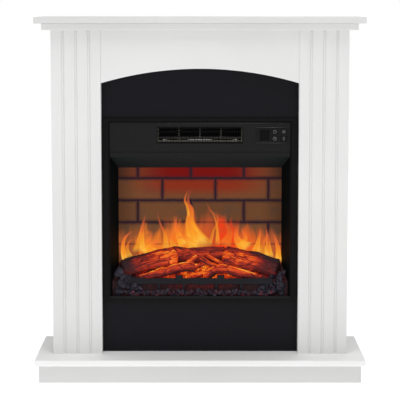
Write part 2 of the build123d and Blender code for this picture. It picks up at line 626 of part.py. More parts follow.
# ---------------------------------------------------------------- fire cavity
def cavity_walls():
    """Two splayed cheeks and a sloping hood between the window and the screen."""
    f, b, t = CHEEK_FRONT_X, CHEEK_BACK_X, SHEET_T
    corners = [(f, FASCIA_Y, FLOOR_Z), (b, SCREEN_Y, FLOOR_Z),
               (b, SCREEN_Y, HOOD_BACK_Z), (f, FASCIA_Y, WINDOW_TOP)]
    left, right = both_sides(prism(corners, (t, 0, 0)))
    hood = prism([(-f - t, FASCIA_Y, WINDOW_TOP), (f + t, FASCIA_Y, WINDOW_TOP),
                  (b + t, SCREEN_Y, HOOD_BACK_Z), (-b - t, SCREEN_Y, HOOD_BACK_Z)], (0, 0, t))
    return {"cheek_left": left, "cheek_right": right, "hood_baffle": hood}


def flame_slot(x, z, height, width, lean):
    """A flame-shaped slot: two arcs that meet in a leaning tip."""
    y = TEMPLATE_Y - 1
    foot_left, foot_right, tip = (x - width / 2, y, z), (x + width / 2, y, z), (x + lean, y, z + height)
    left_mid = (x - width * 0.62 + lean * 0.2, y, z + height * 0.4)
    right_mid = (x + width * 0.42 + lean * 0.5, y, z + height * 0.5)
    sides = ThreePointArc(foot_left, left_mid, tip) + ThreePointArc(foot_right, right_mid, tip)
    return extrude(make_face(sides + Line(foot_left, foot_right)), amount=SHEET_T + 3, dir=(0, 1, 0))


def flame_projector():
    """Screen, flame template, lamp boards and the turning spindle that makes the flames flicker."""
    x = CHEEK_BACK_X + SCREEN_LAP
    z0, z1 = FLOOR_Z + BED_FRONT_H, HOOD_BACK_Z + SHEET_T + SCREEN_LAP
    screen = block(-x, x, SCREEN_Y, SCREEN_Y + SCREEN_T, z0, z1)
    pitch = 2 * x / (TEMPLATE_SLOTS + 1)
    slot_z, slot_room = SPINDLE_Z + FLAG_R, HOOD_BACK_Z - SPINDLE_Z - FLAG_R
    slots = [flame_slot(-x + (i + 1) * pitch, slot_z, slot_room * (0.45, 0.8, 0.6)[i % 3], SLOT_W,
                        SLOT_W * (0.5, -0.6)[i % 2]) for i in range(TEMPLATE_SLOTS)]
    template = joined([
        block(-x, x, TEMPLATE_Y, TEMPLATE_Y + SHEET_T, z0, z1),
        block(-x, x, TEMPLATE_Y, TEMPLATE_Y + 12, z1 - SHEET_T, z1),
    ])
    y, z = SPINDLE_Y, SPINDLE_Z
    shaft = rod_x(-SPINDLE_END_X, SPINDLE_END_X + SPINDLE_MOTOR_L / 2, y, z, SPINDLE_R)
    run = 2 * (MOTOR_PLATE_X - FLAG_W)
    flags = []
    for row in range(FLAG_ROWS):
        fx = -run / 2 + run * row / (FLAG_ROWS - 1)
        for blade in range(FLAG_BLADES):
            angle = 360 * blade / FLAG_BLADES + 35 * row
            flag = Pos(0, SPINDLE_R + (FLAG_R - SPINDLE_R) / 2, 0) * Box(FLAG_W, FLAG_R - SPINDLE_R, FLAG_T)
            flags.append(Pos(fx, y, z) * Rot(angle, 0, 0) * flag)
    hub = less(rod_x(-run / 2 - FLAG_W / 2, run / 2 + FLAG_W / 2, y, z, SPINDLE_R + 1),
               [rod_x(-WIDTH, WIDTH, y, z, SPINDLE_R)])
    motor_x = SPINDLE_END_X - SPINDLE_MOTOR_LAP
    return {
        "flame_screen": screen,
        "flame_template": less(template, slots),
        "flame_spindle": shaft,
        "spindle_flags": joined([hub] + flags),
        "spindle_brackets": spindle_brackets(),
        "spindle_motor": less(
            rod_x(motor_x, motor_x + SPINDLE_MOTOR_L, y, z, SPINDLE_MOTOR_R),
            [rod_x(0, SPINDLE_END_X + SPINDLE_MOTOR_L / 2 + 1, y, z, SPINDLE_R + SHAFT_GAP)]),
        "lamp_boards": group([
            lamp_board(SPINDLE_Y + FLAG_R - LAMP_BOARD_W, MOTOR_PLATE_X - 1.5 * LAMP_BOARD_W, LAMP_BOARD_W),
            lamp_board(BED_FRONT_Y + CAVITY_D * 0.3, BED_LAMP_X, LAMP_BOARD_W / 2),
        ]),
    }


def spindle_brackets():
    """Two folded plates on the case's floor: the left holds the bush, the right the motor."""
    y, z = SPINDLE_Y, SPINDLE_Z
    plates = []
    for side in (-1, 1):
        xa = side * MOTOR_PLATE_X
        xb = xa + side * BRACKET_T
        lo, hi = min(xa, xb), max(xa, xb)
        upright = block(lo, hi, y - BRACKET_REACH, y + BRACKET_REACH, FLOOR_Z, z + BRACKET_REACH)
        foot_x = xa - side * BRACKET_REACH
        foot = block(min(foot_x, xb), max(foot_x, xb), y - BRACKET_REACH, y + BRACKET_REACH, FLOOR_Z,
                     FLOOR_Z + BRACKET_T)
        bore = BUSH_R if side < 0 else SPINDLE_R + 1
        plates.append(less(joined([upright, foot]), [rod_x(lo - 5, hi + 5, y, z, bore)]))
    return group(plates)


def spindle_bush():
    """The plain bearing in the left bracket."""
    y, z = SPINDLE_Y, SPINDLE_Z
    return less(rod_x(-MOTOR_PLATE_X - BRACKET_T - 2, -MOTOR_PLATE_X, y, z, BUSH_R),
                [rod_x(-WIDTH, WIDTH, y, z, SPINDLE_R + SHAFT_GAP)])


def lamp_board(y, half_x, rise):
    """A strip of light-emitting diodes on posts over the case's floor."""
    z = FLOOR_Z + rise
    count = int(2 * half_x / LAMP_PITCH)
    board = block(-half_x, half_x, y - LAMP_BOARD_W / 2, y + LAMP_BOARD_W / 2, z, z + PCB_T)
    w, lamp_z = LAMP_SIZE / 2, z + PCB_T
    lamps = [block(x - w, x + w, y - w, y + w, lamp_z, lamp_z + LAMP_H)
             for x in [(i - (count - 1) / 2) * LAMP_PITCH for i in range(count)]]
    posts = [rod_z(FLOOR_Z, z, s * half_x * 0.9, y, POST_R) for s in (-1, 1)]
    return joined([board] + lamps + posts)


def bed_plan(inset, z0, z1):
    """The space between the cheeks, from the bed's front to the screen."""
    slope = (CHEEK_FRONT_X - CHEEK_BACK_X) / CAVITY_D
    y0, y1 = BED_FRONT_Y + inset, BED_BACK_Y - inset
    x0 = CHEEK_FRONT_X - slope * (y0 - FASCIA_Y) - BED_GAP - inset
    x1 = CHEEK_FRONT_X - slope * (y1 - FASCIA_Y) - BED_GAP - inset
    return prism_z([(-x0, y0), (x0, y0), (x1, y1), (-x1, y1)], z0, z1)


def bed_top(y):
    """Height of the ember bed's top over the line at depth y."""
    return FLOOR_Z + BED_FRONT_H + (BED_REAR_H - BED_FRONT_H) * (y - BED_FRONT_Y) / (BED_BACK_Y - BED_FRONT_Y)


def under_bed_top(drop):
    """Everything under the bed's sloping top, lowered by drop."""
    y0, y1 = BED_FRONT_Y - 50, BED_BACK_Y + 50
    return prism_x([(y0, 0), (y1, 0), (y1, bed_top(y1) - drop), (y0, bed_top(y0) - drop)], -WIDTH, WIDTH)


def ember_bed():
    """A moulded tray upside down, open below, that the lamps shine through."""
    outer = bed_plan(0, FLOOR_Z, FLOOR_Z + BED_REAR_H + 10) & under_bed_top(0)
    inner = bed_plan(BED_T, FLOOR_Z - 1, FLOOR_Z + BED_REAR_H + 10) & under_bed_top(BED_T)
    return less(outer, [inner])


def tapered_log(start, end, r0, r1):
    """A log between two points, cut flat where it lies on the ember bed."""
    a, b = Vector(start), Vector(end)
    axis = b - a
    place = Plane(origin=a + axis * 0.5, z_dir=axis)
    return less(place * Cone(r0, r1, axis.length), [under_bed_top(0)])


def log_set():
    """Five logs on the ember bed, each saddled over the ones under it."""
    end_x, r, front = CHEEK_BACK_X - 8.0, LOG_R, BED_FRONT_Y
    low, rear_y = FLOOR_Z + LOG_RISE, BED_BACK_Y - 1.2 * LOG_R
    inner_x, branch_x, tip_x = 0.33 * end_x, 0.72 * end_x, BRANCH_TIP_X
    high, foot, tip = low + LOG_CLIMB, low - BRANCH_DROP, low + BRANCH_DROP
    logs = {
        "log_left": tapered_log((-end_x, rear_y - 0.7 * r, low), (-inner_x, rear_y, high),
                                r * 1.05, r * 1.15),
        "log_right": tapered_log((end_x, rear_y - 0.7 * r, low), (inner_x, rear_y, high),
                                 r * 1.05, r * 1.15),
        "log_rear": tapered_log((-inner_x, rear_y + 0.2 * r, high), (inner_x, rear_y + 0.2 * r, high - 2),
                                r * 0.95, r * 0.9),
        "log_front_left": tapered_log((-branch_x, front + 0.7 * r, foot), (-tip_x, front + r, tip),
                                      r * 0.55, r * 0.65),
        "log_front_right": tapered_log((branch_x, front + 0.7 * r, foot), (tip_x, front + 0.9 * r, tip - 2),
                                       r * 0.55, r * 0.7),
    }
    fitted = {}
    for name, log in logs.items():
        fitted[name] = less(log, list(fitted.values()))
    return fitted


def grate():
    """The iron grate before the embers: a bar with two lugs, on six legs."""
    y0, y1, z0 = GRATE_Y, GRATE_Y + GRATE_T, FLOOR_Z + GRATE_RISE
    lug_x = GRATE_X * 0.28
    bar = block(-GRATE_X, GRATE_X, y0, y1, z0, z0 + GRATE_H)
    lug_w, leg_w = GRATE_LUG_W / 2, GRATE_LEG_W / 2
    lugs = [block(x - lug_w, x + lug_w, y0, y1, z0, z0 + GRATE_H + GRATE_LUG_H) for x in (-lug_x, lug_x)]
    leg_places = [s * k * GRATE_X for s in (-1, 1) for k in (0.22, 0.56, 0.9)]
    legs = [block(x - leg_w, x + leg_w, y0, y1, FLOOR_Z, z0 + 1) for x in leg_places]
    return joined([bar] + lugs + legs)


def coals():
    """Moulded coal at both ends of the grate, and a low strip of coal before it."""
    x1 = CHEEK_FRONT_X - 2.0
    x0 = x1 - COAL_END_W
    z, h = FLOOR_Z, COAL_END_H
    outline = [(x0, z), (x1, z), (x1, z + h * 0.95), (x1 - 8, z + h),
               (x0 + 10, z + h * 0.93), (x0, z + h * 0.7)]
    clear_of_cheek = block(0, x1 - SPLAY * 0.25, FASCIA_Y, SCREEN_Y, 0, HEIGHT)
    right = prism_y(outline, FASCIA_Y + 2, BED_FRONT_Y - 1) & clear_of_cheek
    strip_y = GRATE_Y - 1.5
    strip = block(-x0 + 1, x0 - 1, strip_y - COAL_STRIP_T, strip_y, z, z + COAL_STRIP_H)
    return {"coal_ends": group(both_sides(right)), "coal_strip": strip}


# ---------------------------------------------------------------- heater
def heater():
    """Cross-flow fan in its duct, heating element and motor, behind the outlet grille."""
    y, z, r = WHEEL_Y, WHEEL_Z, DUCT_R
    outer = joined([block(-DUCT_X, DUCT_X, DUCT_Y, y, z - r - SHEET_T, z + r + SHEET_T),
                    rod_x(-DUCT_X, DUCT_X, y, z, r + SHEET_T)])
    ix = DUCT_X - SHEET_T
    inner = joined([block(-ix, ix, DUCT_Y - 1, y, z - r, z + r), rod_x(-ix, ix, y, z, r)])
    intake = block(-ix + 10, ix - 10, y + 2, y + r + 5, z - r * 0.9, z - 2)
    bush_holes = rod_x(-WIDTH, WIDTH, y, z, BUSH_R)
    w, tab_y, tab_x = DUCT_TAB_W / 2, y - 2 * r, DUCT_X - DUCT_TAB_W
    tabs = [block(x - w, x + w, tab_y, tab_y + DUCT_TAB_L, z + r + SHEET_T / 2, CASE_TOP - SHEET_T)
            for x in (-tab_x, tab_x)]
    housing = less(joined([outer] + tabs), [inner, intake, bush_holes])

    wheel_x = WHEEL_X
    discs = [rod_x(x - WHEEL_DISC_T / 2, x + WHEEL_DISC_T / 2, y, z, WHEEL_R)
             for x in (-wheel_x + WHEEL_DISC_T / 2, 0, wheel_x - WHEEL_DISC_T / 2)]
    blades = []
    for i in range(WHEEL_BLADES):
        angle = 360 * i / WHEEL_BLADES
        blade = Rot(WHEEL_BLADE_TILT, 0, 0) * Box(2 * wheel_x, WHEEL_BLADE_W, WHEEL_BLADE_T)
        blades.append(Pos(0, y, z) * Rot(angle, 0, 0) * Pos(0, WHEEL_R - WHEEL_BLADE_W / 2 - 0.6, 0) * blade)
    motor_x = DUCT_X + MOTOR_STANDOFF
    shaft = rod_x(-DUCT_X - 4, motor_x + STATOR_L + 6, y, z, WHEEL_SHAFT_R)
    bush = less(rod_x(DUCT_X - SHEET_T, DUCT_X + 3, y, z, BUSH_R),
                [rod_x(-WIDTH, WIDTH, y, z, WHEEL_SHAFT_R + SHAFT_GAP)])

    stator_z0, stator_z1 = z - STATOR_H / 2, z + STATOR_H / 2
    stator = block(motor_x, motor_x + STATOR_L, y - STATOR_W / 2, y + STATOR_W / 2, stator_z0, stator_z1)
    coil_room = block(motor_x - 1, motor_x + STATOR_L + 1, y + 15, y + 19, z - 12, z + 12)
    stator = less(stator, [rod_x(motor_x - 1, motor_x + STATOR_L + 1, y, z, ROTOR_R + ROTOR_GAP), coil_room])
    strap = block(motor_x - STRAP_T, motor_x, y - STRAP_W / 2, y + STRAP_W / 2, stator_z0, stator_z1)
    strap = less(strap, [rod_x(-WIDTH, WIDTH, y, z, WHEEL_SHAFT_R + 1)])
    strap_far = Pos(STATOR_L + STRAP_T, 0, 0) * strap
    hangers = [block(motor_x + 2, motor_x + STATOR_L - 2, hanger_y - HANGER_W / 2, hanger_y + HANGER_W / 2,
                     stator_z1, CASE_TOP - SHEET_T)
               for hanger_y in (y - HANGER_SPREAD, y + HANGER_SPREAD)]
    rotor = less(rod_x(motor_x + 1, motor_x + STATOR_L - 1, y, z, ROTOR_R),
                 [rod_x(0, WIDTH, y, z, WHEEL_SHAFT_R)])

    cutout_x, cutout_y, under_duct = DUCT_X * 0.6, DUCT_Y + CUTOUT_FROM_MOUTH, z - r - SHEET_T
    ear_x = CUTOUT_R + 3
    ears = block(cutout_x - ear_x, cutout_x + ear_x, cutout_y - 2, cutout_y + 2, under_duct - 1, under_duct)
    cutout = rod_z(under_duct - CUTOUT_H, under_duct, cutout_x, cutout_y, CUTOUT_R)
    return {
        "blower_housing": housing,
        "blower_wheel": joined(discs + blades + [shaft]),
        "shaft_bushes": group([*both_sides(bush), spindle_bush()]),
        "blower_motor": joined([stator, strap, strap_far] + hangers),
        "motor_rotor": rotor,
        "heater_element": heater_element(),
        "thermal_cutout": joined([cutout, ears]),
    }


def heater_element():
    """A mica frame across the duct, with bright heating bars behind the grille."""
    x, r = DUCT_X - SHEET_T, DUCT_R
    y0, y1 = DUCT_Y + HEATER_END_GAP, DUCT_Y + HEATER_END_GAP + HEATER_D
    w, t = HEATER_WALL, HEATER_BAR_T / 2
    frame = less(block(-x, x, y0, y1, WHEEL_Z - r, WHEEL_Z + r),
                 [block(-x + w, x - w, y0 - 1, y1 + 1, WHEEL_Z - r + w, WHEEL_Z + r - w)])
    bars = [block(-x + w / 2, x - w / 2, y0 + 1, y1 - 1, OUTLET_Z0 + rise - t, OUTLET_Z0 + rise + t)
            for rise in HEATER_BAR_RISES]
    posts = [block(px - w / 2, px + w / 2, y0 + 2, y1 - 2, WHEEL_Z - r + w / 2, WHEEL_Z + r - w / 2)
             for px in (-x * 0.5, 0, x * 0.5)]
    return joined([frame] + bars + posts)


def main_board():
    """The power board on four posts behind the heater, with its relays and capacitor."""
    x0, z1 = -CASE_X + 20, WHEEL_Z + 5
    x1, z0 = x0 + MAIN_BOARD_W, z1 - MAIN_BOARD_H
    y1 = BACK_PLATE_Y - SHEET_T - MAIN_BOARD_GAP
    y0 = y1 - PCB_T
    board = block(x0, x1, y0, y1, z0, z1)
    relays = [block(x0 + 10 + 24 * i, x0 + 28 + 24 * i, y0 - 15, y0, z1 - 30, z1 - 12) for i in range(3)]
    capacitor = rod_y(y0 - 14, y0, x0 + 20, z0 + 14, 6)
    posts = [rod_y(y1, BACK_PLATE_Y, x, z, POST_R) for x in (x0 + 5, x1 - 5) for z in (z0 + 5, z1 - 5)]
    return joined([board, capacitor] + relays + posts)


# ---------------------------------------------------------------- write every node
def all_parts():
    parts = surround()
    parts |= {"fascia_panel": fascia_panel()}
    parts |= surround_fasteners()
    parts |= case_shell()
    parts |= {"cable_gland": cable_gland(), "front_frame": front_frame(), "header_panel": header_panel(),
              "outlet_grille": outlet_grille()}
    parts |= control_panel()
    parts |= cavity_walls()
    parts |= flame_projector()
    parts |= {"ember_bed": ember_bed()}
    parts |= log_set()
    parts |= {"grate": grate()}
    parts |= coals()
    parts |= heater()
    parts |= {"main_board": main_board()}
    return parts


os.makedirs("parts", exist_ok=True)
for name, shape in all_parts().items():
    export_step(shape, f"parts/{name}.step")
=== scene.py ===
"""Looks of a free-standing electric fireplace: a white fluted surround round a black insert.

Every piece is in metres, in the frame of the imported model: X to the right, -Y towards the room, +Z up.
"""

import logging
import math
from dataclasses import dataclass, field
from enum import Enum

import bpy
import numpy as np
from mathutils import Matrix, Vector


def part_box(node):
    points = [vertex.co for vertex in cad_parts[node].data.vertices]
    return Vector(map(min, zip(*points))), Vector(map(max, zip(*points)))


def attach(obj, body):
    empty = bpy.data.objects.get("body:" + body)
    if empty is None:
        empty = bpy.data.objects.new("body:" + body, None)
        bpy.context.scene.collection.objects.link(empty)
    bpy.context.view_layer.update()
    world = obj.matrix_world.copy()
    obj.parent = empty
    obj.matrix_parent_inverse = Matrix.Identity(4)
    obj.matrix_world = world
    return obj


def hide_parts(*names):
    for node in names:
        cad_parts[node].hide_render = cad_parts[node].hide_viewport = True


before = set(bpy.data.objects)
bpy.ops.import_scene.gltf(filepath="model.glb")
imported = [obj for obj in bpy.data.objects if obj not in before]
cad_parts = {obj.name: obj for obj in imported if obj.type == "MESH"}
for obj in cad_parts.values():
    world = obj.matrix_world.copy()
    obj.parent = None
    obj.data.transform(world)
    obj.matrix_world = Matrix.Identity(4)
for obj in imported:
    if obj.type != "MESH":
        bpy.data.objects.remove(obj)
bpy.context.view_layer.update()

LOG = logging.getLogger("fireplace")
MM = 0.001


# ---------------------------------------------------------------- shader maths
class Val:
    """A number in a shader: a socket, with arithmetic that adds Math nodes."""

    def __init__(self, tree: "Tree", socket: bpy.types.NodeSocket) -> None:
        """Wrap socket, which belongs to tree."""
        self.tree = tree
        self.socket = socket

    def op(self, operation: str, *others: "float | Val") -> "Val":
        """A Math node of that operation on this number and others."""
        return self.tree.math(operation, self, *others)

    def __add__(self, other: "float | Val") -> "Val":
        """Sum."""
        return self.op("ADD", other)

    __radd__ = __add__

    def __mul__(self, other: "float | Val") -> "Val":
        """Product."""
        return self.op("MULTIPLY", other)

    __rmul__ = __mul__

    def __sub__(self, other: "float | Val") -> "Val":
        """Difference."""
        return self.op("SUBTRACT", other)

    def __rsub__(self, other: "float | Val") -> "Val":
        """Difference, the other way round."""
        return self.tree.math("SUBTRACT", other, self)

    def __truediv__(self, other: "float | Val") -> "Val":
        """Quotient."""
        return self.op("DIVIDE", other)

    def __pow__(self, other: "float | Val") -> "Val":
        """Power."""
        return self.op("POWER", other)

    def floor(self) -> "Val":
        """Whole part."""
        return self.op("FLOOR")

    def fract(self) -> "Val":
        """Part after the point."""
        return self.op("FRACT")

    def abs(self) -> "Val":
        """Size without sign."""
        return self.op("ABSOLUTE")

    def at_least(self, other: "float | Val") -> "Val":
        """The larger of the two."""
        return self.op("MAXIMUM", other)

    def at_most(self, other: "float | Val") -> "Val":
        """The smaller of the two."""
        return self.op("MINIMUM", other)

    def between(self, low: float, high: float) -> "Val":
        """Smooth step: 0 below low, 1 above high. The ends may be given in either order.

        Args:
            low: Where it starts to rise.
            high: Where it reaches 1.

        Returns:
            The step's height.
        """
        if low > high:
            return 1 - self.between(high, low)
        return self.tree.number("ShaderNodeMapRange", {"interpolation_type": "SMOOTHSTEP"},
                                {"Value": self, "From Min": low, "From Max": high})


class Tree:
    """The node tree of one material, with short ways to add nodes."""

    def __init__(self, nodes: bpy.types.NodeTree) -> None:
        """Wrap a node tree."""
        self.nodes = nodes

    def node(self, kind: str, settings: dict | None = None, sockets: dict | None = None) -> bpy.types.Node:
        """Add a node.

        Args:
            kind: The node's type.
            settings: Attributes to set first; "stops" is a ramp's list of (place, colour).
            sockets: Values or links for its inputs, by name or number.

        Returns:
            The new node.
        """
        made = self.nodes.nodes.new(kind)
        for name, value in (settings or {}).items():
            if name == "stops":
                ramp = made.color_ramp.elements
                while len(ramp) < len(value):
                    ramp.new(0.5)
                for stop, (place, colour) in zip(ramp, value):
                    stop.position, stop.color = place, (*colour, 1)
            else:
                setattr(made, name, value)
        for name, value in (sockets or {}).items():
            self.feed(made.inputs[name], value)
        return made

    def feed(self, socket: bpy.types.NodeSocket, value: object) -> None:
        """Link a Val or socket to an input, or set its value.

        Args:
            socket: The input.
            value: What to link to it or set it to.
        """
        if isinstance(value, Val):
            value = value.socket
        if isinstance(value, bpy.types.NodeSocket):
            self.nodes.links.new(value, socket)
        elif socket.type == "RGBA" and len(value) == 3:
            socket.default_value = (*value, 1)
        else:
            socket.default_value = value

    def number(self, kind: str, settings: dict, sockets: dict, output: int | str = 0) -> Val:
        """A node's output as a number."""
        return Val(self, self.node(kind, settings, sockets).outputs[output])

    def math(self, operation: str, *values: "float | Val") -> Val:
        """A Math node on up to three values."""
        return self.number("ShaderNodeMath", {"operation": operation}, dict(enumerate(values)))

    def place(self) -> tuple[Val, Val, Val]:
        """Object coordinates: X, Y and Z in metres."""
        split = self.node("ShaderNodeSeparateXYZ", {}, {0: self.spot()})
        return tuple(Val(self, out) for out in split.outputs)

    def spot(self) -> bpy.types.NodeSocket:
        """Object coordinates as a vector."""
        return self.node("ShaderNodeTexCoord").outputs["Object"]

    def vector(self, x: "float | Val", y: "float | Val", z: "float | Val") -> bpy.types.NodeSocket:
        """Three numbers as a vector."""
        return self.node("ShaderNodeCombineXYZ", {}, {0: x, 1: y, 2: z}).outputs[0]

    def attribute(self, name: str, vector: bool = False) -> "Val | bpy.types.NodeSocket":
        """The piece's own attribute: a number, or a vector."""
        made = self.node("ShaderNodeAttribute", {"attribute_name": name})
        return made.outputs["Vector"] if vector else Val(self, made.outputs["Fac"])

    def stretch(self, vector: bpy.types.NodeSocket,
                scale: tuple[float, float, float]) -> bpy.types.NodeSocket:
        """A vector with each part multiplied."""
        return self.node("ShaderNodeVectorMath", {"operation": "MULTIPLY"}, {0: vector, 1: scale}).outputs[0]

    def noise(self, vector: bpy.types.NodeSocket, scale: float, detail: float = 3, rough: float = 0.5,
              twist: float = 0) -> Val:
        """Smooth random pattern from 0 to 1.

        Args:
            vector: Where it is looked up.
            scale: Features to the metre.
            detail: How many finer layers are added.
            rough: How strong the finer layers are.
            twist: How much it is bent.

        Returns:
            The pattern's value.
        """
        return self.number("ShaderNodeTexNoise", {},
                           {"Vector": vector, "Scale": scale, "Detail": detail, "Roughness": rough,
                            "Distortion": twist})

    def cells(self, vector: bpy.types.NodeSocket, scale: float, feature: str = "F1",
              output: str = "Distance") -> Val:
        """Cellular pattern: distance to the nearest of scattered points, or to the edge between cells."""
        return self.number("ShaderNodeTexVoronoi", {"feature": feature}, {"Vector": vector, "Scale": scale},
                           output)

    def dice(self, x: "float | Val", y: "float | Val") -> Val:
        """A random number from 0 to 1 that is the same wherever x and y are the same."""
        return self.number("ShaderNodeTexWhiteNoise", {"noise_dimensions": "2D"},
                           {"Vector": self.vector(x, y, 0)})

    def mix(self, share: "float | Val", low: object, high: object,
            blend: str = "MIX") -> bpy.types.NodeSocket:
        """A colour between low and high, by share.

        Args:
            share: 0 for low, 1 for high.
            low: One colour.
            high: The other colour.
            blend: How they are blended.

        Returns:
            The mixed colour.
        """
        made = self.node("ShaderNodeMix", {"data_type": "RGBA", "blend_type": blend})
        for socket, value in zip([s for s in made.inputs if s.enabled], (share, low, high)):
            self.feed(socket, value)
        return next(s for s in made.outputs if s.enabled)

    def ramp(self, share: Val, stops: list[tuple[float, tuple[float, float, float]]]) -> bpy.types.NodeSocket:
        """A colour looked up along stops."""
        return self.node("ShaderNodeValToRGB", {"stops": stops}, {0: share}).outputs[0]

    def bump(self, height: Val, depth: float, strength: float = 1.0) -> bpy.types.NodeSocket:
        """A normal tilted by a height pattern, depth metres from its lowest to its highest."""
        return self.node("ShaderNodeBump", {},
                         {"Height": height, "Distance": depth, "Strength": strength}).outputs[0]


@dataclass(frozen=True)
class Finish:
    """A surface finish. Each kind says in shade() what changes over the surface."""

    name: str

    def shade(self, t: Tree) -> dict[str, object]:
        """Sockets of the Principled shader, by name."""
        raise NotImplementedError

    def material(self) -> bpy.types.Material:
        """The finish as a material, made once.

        Returns:
            The material, the same one each time.
        """
        found = bpy.data.materials.get(self.name)
        if found:
            return found
        made = bpy.data.materials.new(self.name)
        made.use_nodes = True
        tree = Tree(made.node_tree)
        shader = next(n for n in made.node_tree.nodes if n.type == "BSDF_PRINCIPLED")
        for socket, value in self.shade(tree).items():
            tree.feed(shader.inputs[socket], value)
        return made

    def dress(self, *nodes: str) -> None:
        """Put this finish on CAD nodes.

        Args:
            nodes: Names of CAD nodes.
        """
        for name in nodes:
            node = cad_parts[name]
            node.data.materials.clear()
            node.data.materials.append(self.material())


# ---------------------------------------------------------------- finishes
@dataclass(frozen=True)
class SprayedPaint(Finish):
    """Satin paint on board: faint roller texture, slight shade changes and dust."""

    colour: tuple[float, float, float]
    shade_range: float = 0.02
    roughness: float = 0.38
    texture: float = 420.0
    depth: float = 0.00006
    specular: float = 0.5

    def shade(self, t: Tree) -> dict[str, object]:
        """Colour drifts slowly; gloss and a fine orange peel change quickly.

        Args:
            t: The material's node tree.

        Returns:
            Sockets of the Principled shader, by name.
        """
        spot = t.spot()
        drift = t.noise(spot, 3.5, 4)
        peel = t.noise(spot, self.texture, 2)
        dark = tuple(c * (1 - self.shade_range * 2) for c in self.colour)
        scuff = t.noise(spot, 18, 6, 0.6).between(0.55, 0.75)
        return {
            "Base Color": t.mix(drift.between(0.3, 0.7), self.colour, dark),
            "Roughness": self.roughness + scuff * 0.06 + (peel - 0.5) * 0.08,
            "Specular IOR Level": self.specular,
            "Normal": t.bump(peel, self.depth),
        }


@dataclass(frozen=True)
class BoardCore(Finish):
    """Pale faced board with pressed-fibre flecks."""

    colour: tuple[float, float, float]

    def shade(self, t: Tree) -> dict[str, object]:
        """Short fibres stretched along the board, and a few darker flecks.

        Args:
            t: The material's node tree.

        Returns:
            Sockets of the Principled shader, by name.
        """
        grain = t.noise(t.stretch(t.spot(), (60, 500, 500)), 1, 3)
        fleck = t.cells(t.spot(), 260).between(0.18, 0.05)
        dark = tuple(c * 0.86 for c in self.colour)
        return {
            "Base Color": t.mix(grain.between(0.35, 0.7) * 0.5 + fleck * 0.5, self.colour, dark),
            "Roughness": 0.62 + grain * 0.12,
            "Normal": t.bump(grain, 0.00008),
        }


@dataclass(frozen=True)
class PowderCoat(Finish):
    """Powder-coated sheet: fine pebbled texture."""

    colour: tuple[float, float, float]
    roughness: float = 0.5
    specular: float = 0.35
    grain: float = 1400.0
    depth: float = 0.00004

    def shade(self, t: Tree) -> dict[str, object]:
        """Pebbles from fine noise; slow patches of slightly worn gloss.

        Args:
            t: The material's node tree.

        Returns:
            Sockets of the Principled shader, by name.
        """
        spot = t.spot()
        pebble = t.noise(spot, self.grain, 2)
        patch = t.noise(spot, 9, 4)
        light = tuple(c * 1.7 + 0.0004 for c in self.colour)
        return {
            "Base Color": t.mix(pebble.between(0.4, 0.8) * 0.6 + patch * 0.2, self.colour, light),
            "Roughness": self.roughness + (patch - 0.5) * 0.18,
            "Specular IOR Level": self.specular,
            "Normal": t.bump(pebble, self.depth),
        }


@dataclass(frozen=True)
class BareMetal(Finish):
    """Drawn, rolled or galvanised metal with streaks and spangle."""

    colour: tuple[float, float, float]
    roughness: float = 0.32
    spangle: float = 0.0
    streak: tuple[float, float, float] = (900, 30, 900)

    def shade(self, t: Tree) -> dict[str, object]:
        """Streaks are noise stretched along the rolling; spangle is flat crystals of varied tone.

        Args:
            t: The material's node tree.

        Returns:
            Sockets of the Principled shader, by name.
        """
        spot = t.spot()
        lines = t.noise(t.stretch(spot, self.streak), 1, 2)
        stain = t.noise(spot, 14, 5, 0.6)
        crystal = t.cells(spot, 120, output="Color")
        tone = lines * 0.25 + stain * 0.35 + crystal * self.spangle
        dark = tuple(c * 0.72 for c in self.colour)
        return {
            "Base Color": t.mix(tone.between(0.15, 0.85), self.colour, dark),
            "Metallic": 1.0,
            "Roughness": self.roughness + stain * 0.16 + crystal * self.spangle * 0.2,
            "Normal": t.bump(lines, 0.00003),
        }


@dataclass(frozen=True)
class Moulded(Finish):
    """Moulded plastic: spark-eroded texture and handling sheen."""

    colour: tuple[float, float, float]
    roughness: float = 0.45
    grain: float = 2600.0
    depth: float = 0.00003
    specular: float = 0.4

    def shade(self, t: Tree) -> dict[str, object]:
        """Fine texture in height; broad patches a little shinier where handled.

        Args:
            t: The material's node tree.

        Returns:
            Sockets of the Principled shader, by name.
        """
        spot = t.spot()
        skin = t.noise(spot, self.grain, 1)
        sheen = t.noise(spot, 40, 3)
        light = tuple(min(1.0, c * 1.35 + 0.0004) for c in self.colour)
        return {
            "Base Color": t.mix(skin * 0.5 + sheen * 0.3, self.colour, light),
            "Roughness": self.roughness - sheen.between(0.5, 0.8) * 0.12 + skin * 0.05,
            "Specular IOR Level": self.specular,
            "Normal": t.bump(skin, self.depth),
        }


@dataclass(frozen=True)
class CircuitBoard(Finish):
    """Solder mask with copper tracks under it, and pale pads."""

    colour: tuple[float, float, float] = (0.02, 0.14, 0.06)

    def shade(self, t: Tree) -> dict[str, object]:
        """Tracks are thin bands of a square wave bent by steps, and pads are round cells.

        Args:
            t: The material's node tree.

        Returns:
            Sockets of the Principled shader, by name.
        """
        x, _, z = t.place()
        lane = ((x * 260 + (z * 90).floor() * 0.5).fract() - 0.5).abs().between(0.2, 0.14)
        pad = t.cells(t.spot(), 320).between(0.22, 0.14)
        copper = (0.05, 0.26, 0.09)
        base = t.mix(lane * 0.7, self.colour, copper)
        return {
            "Base Color": t.mix(pad, base, (0.55, 0.55, 0.5)),
            "Roughness": 0.3 + lane * 0.1,
            "Normal": t.bump(lane + pad, 0.00003),
        }


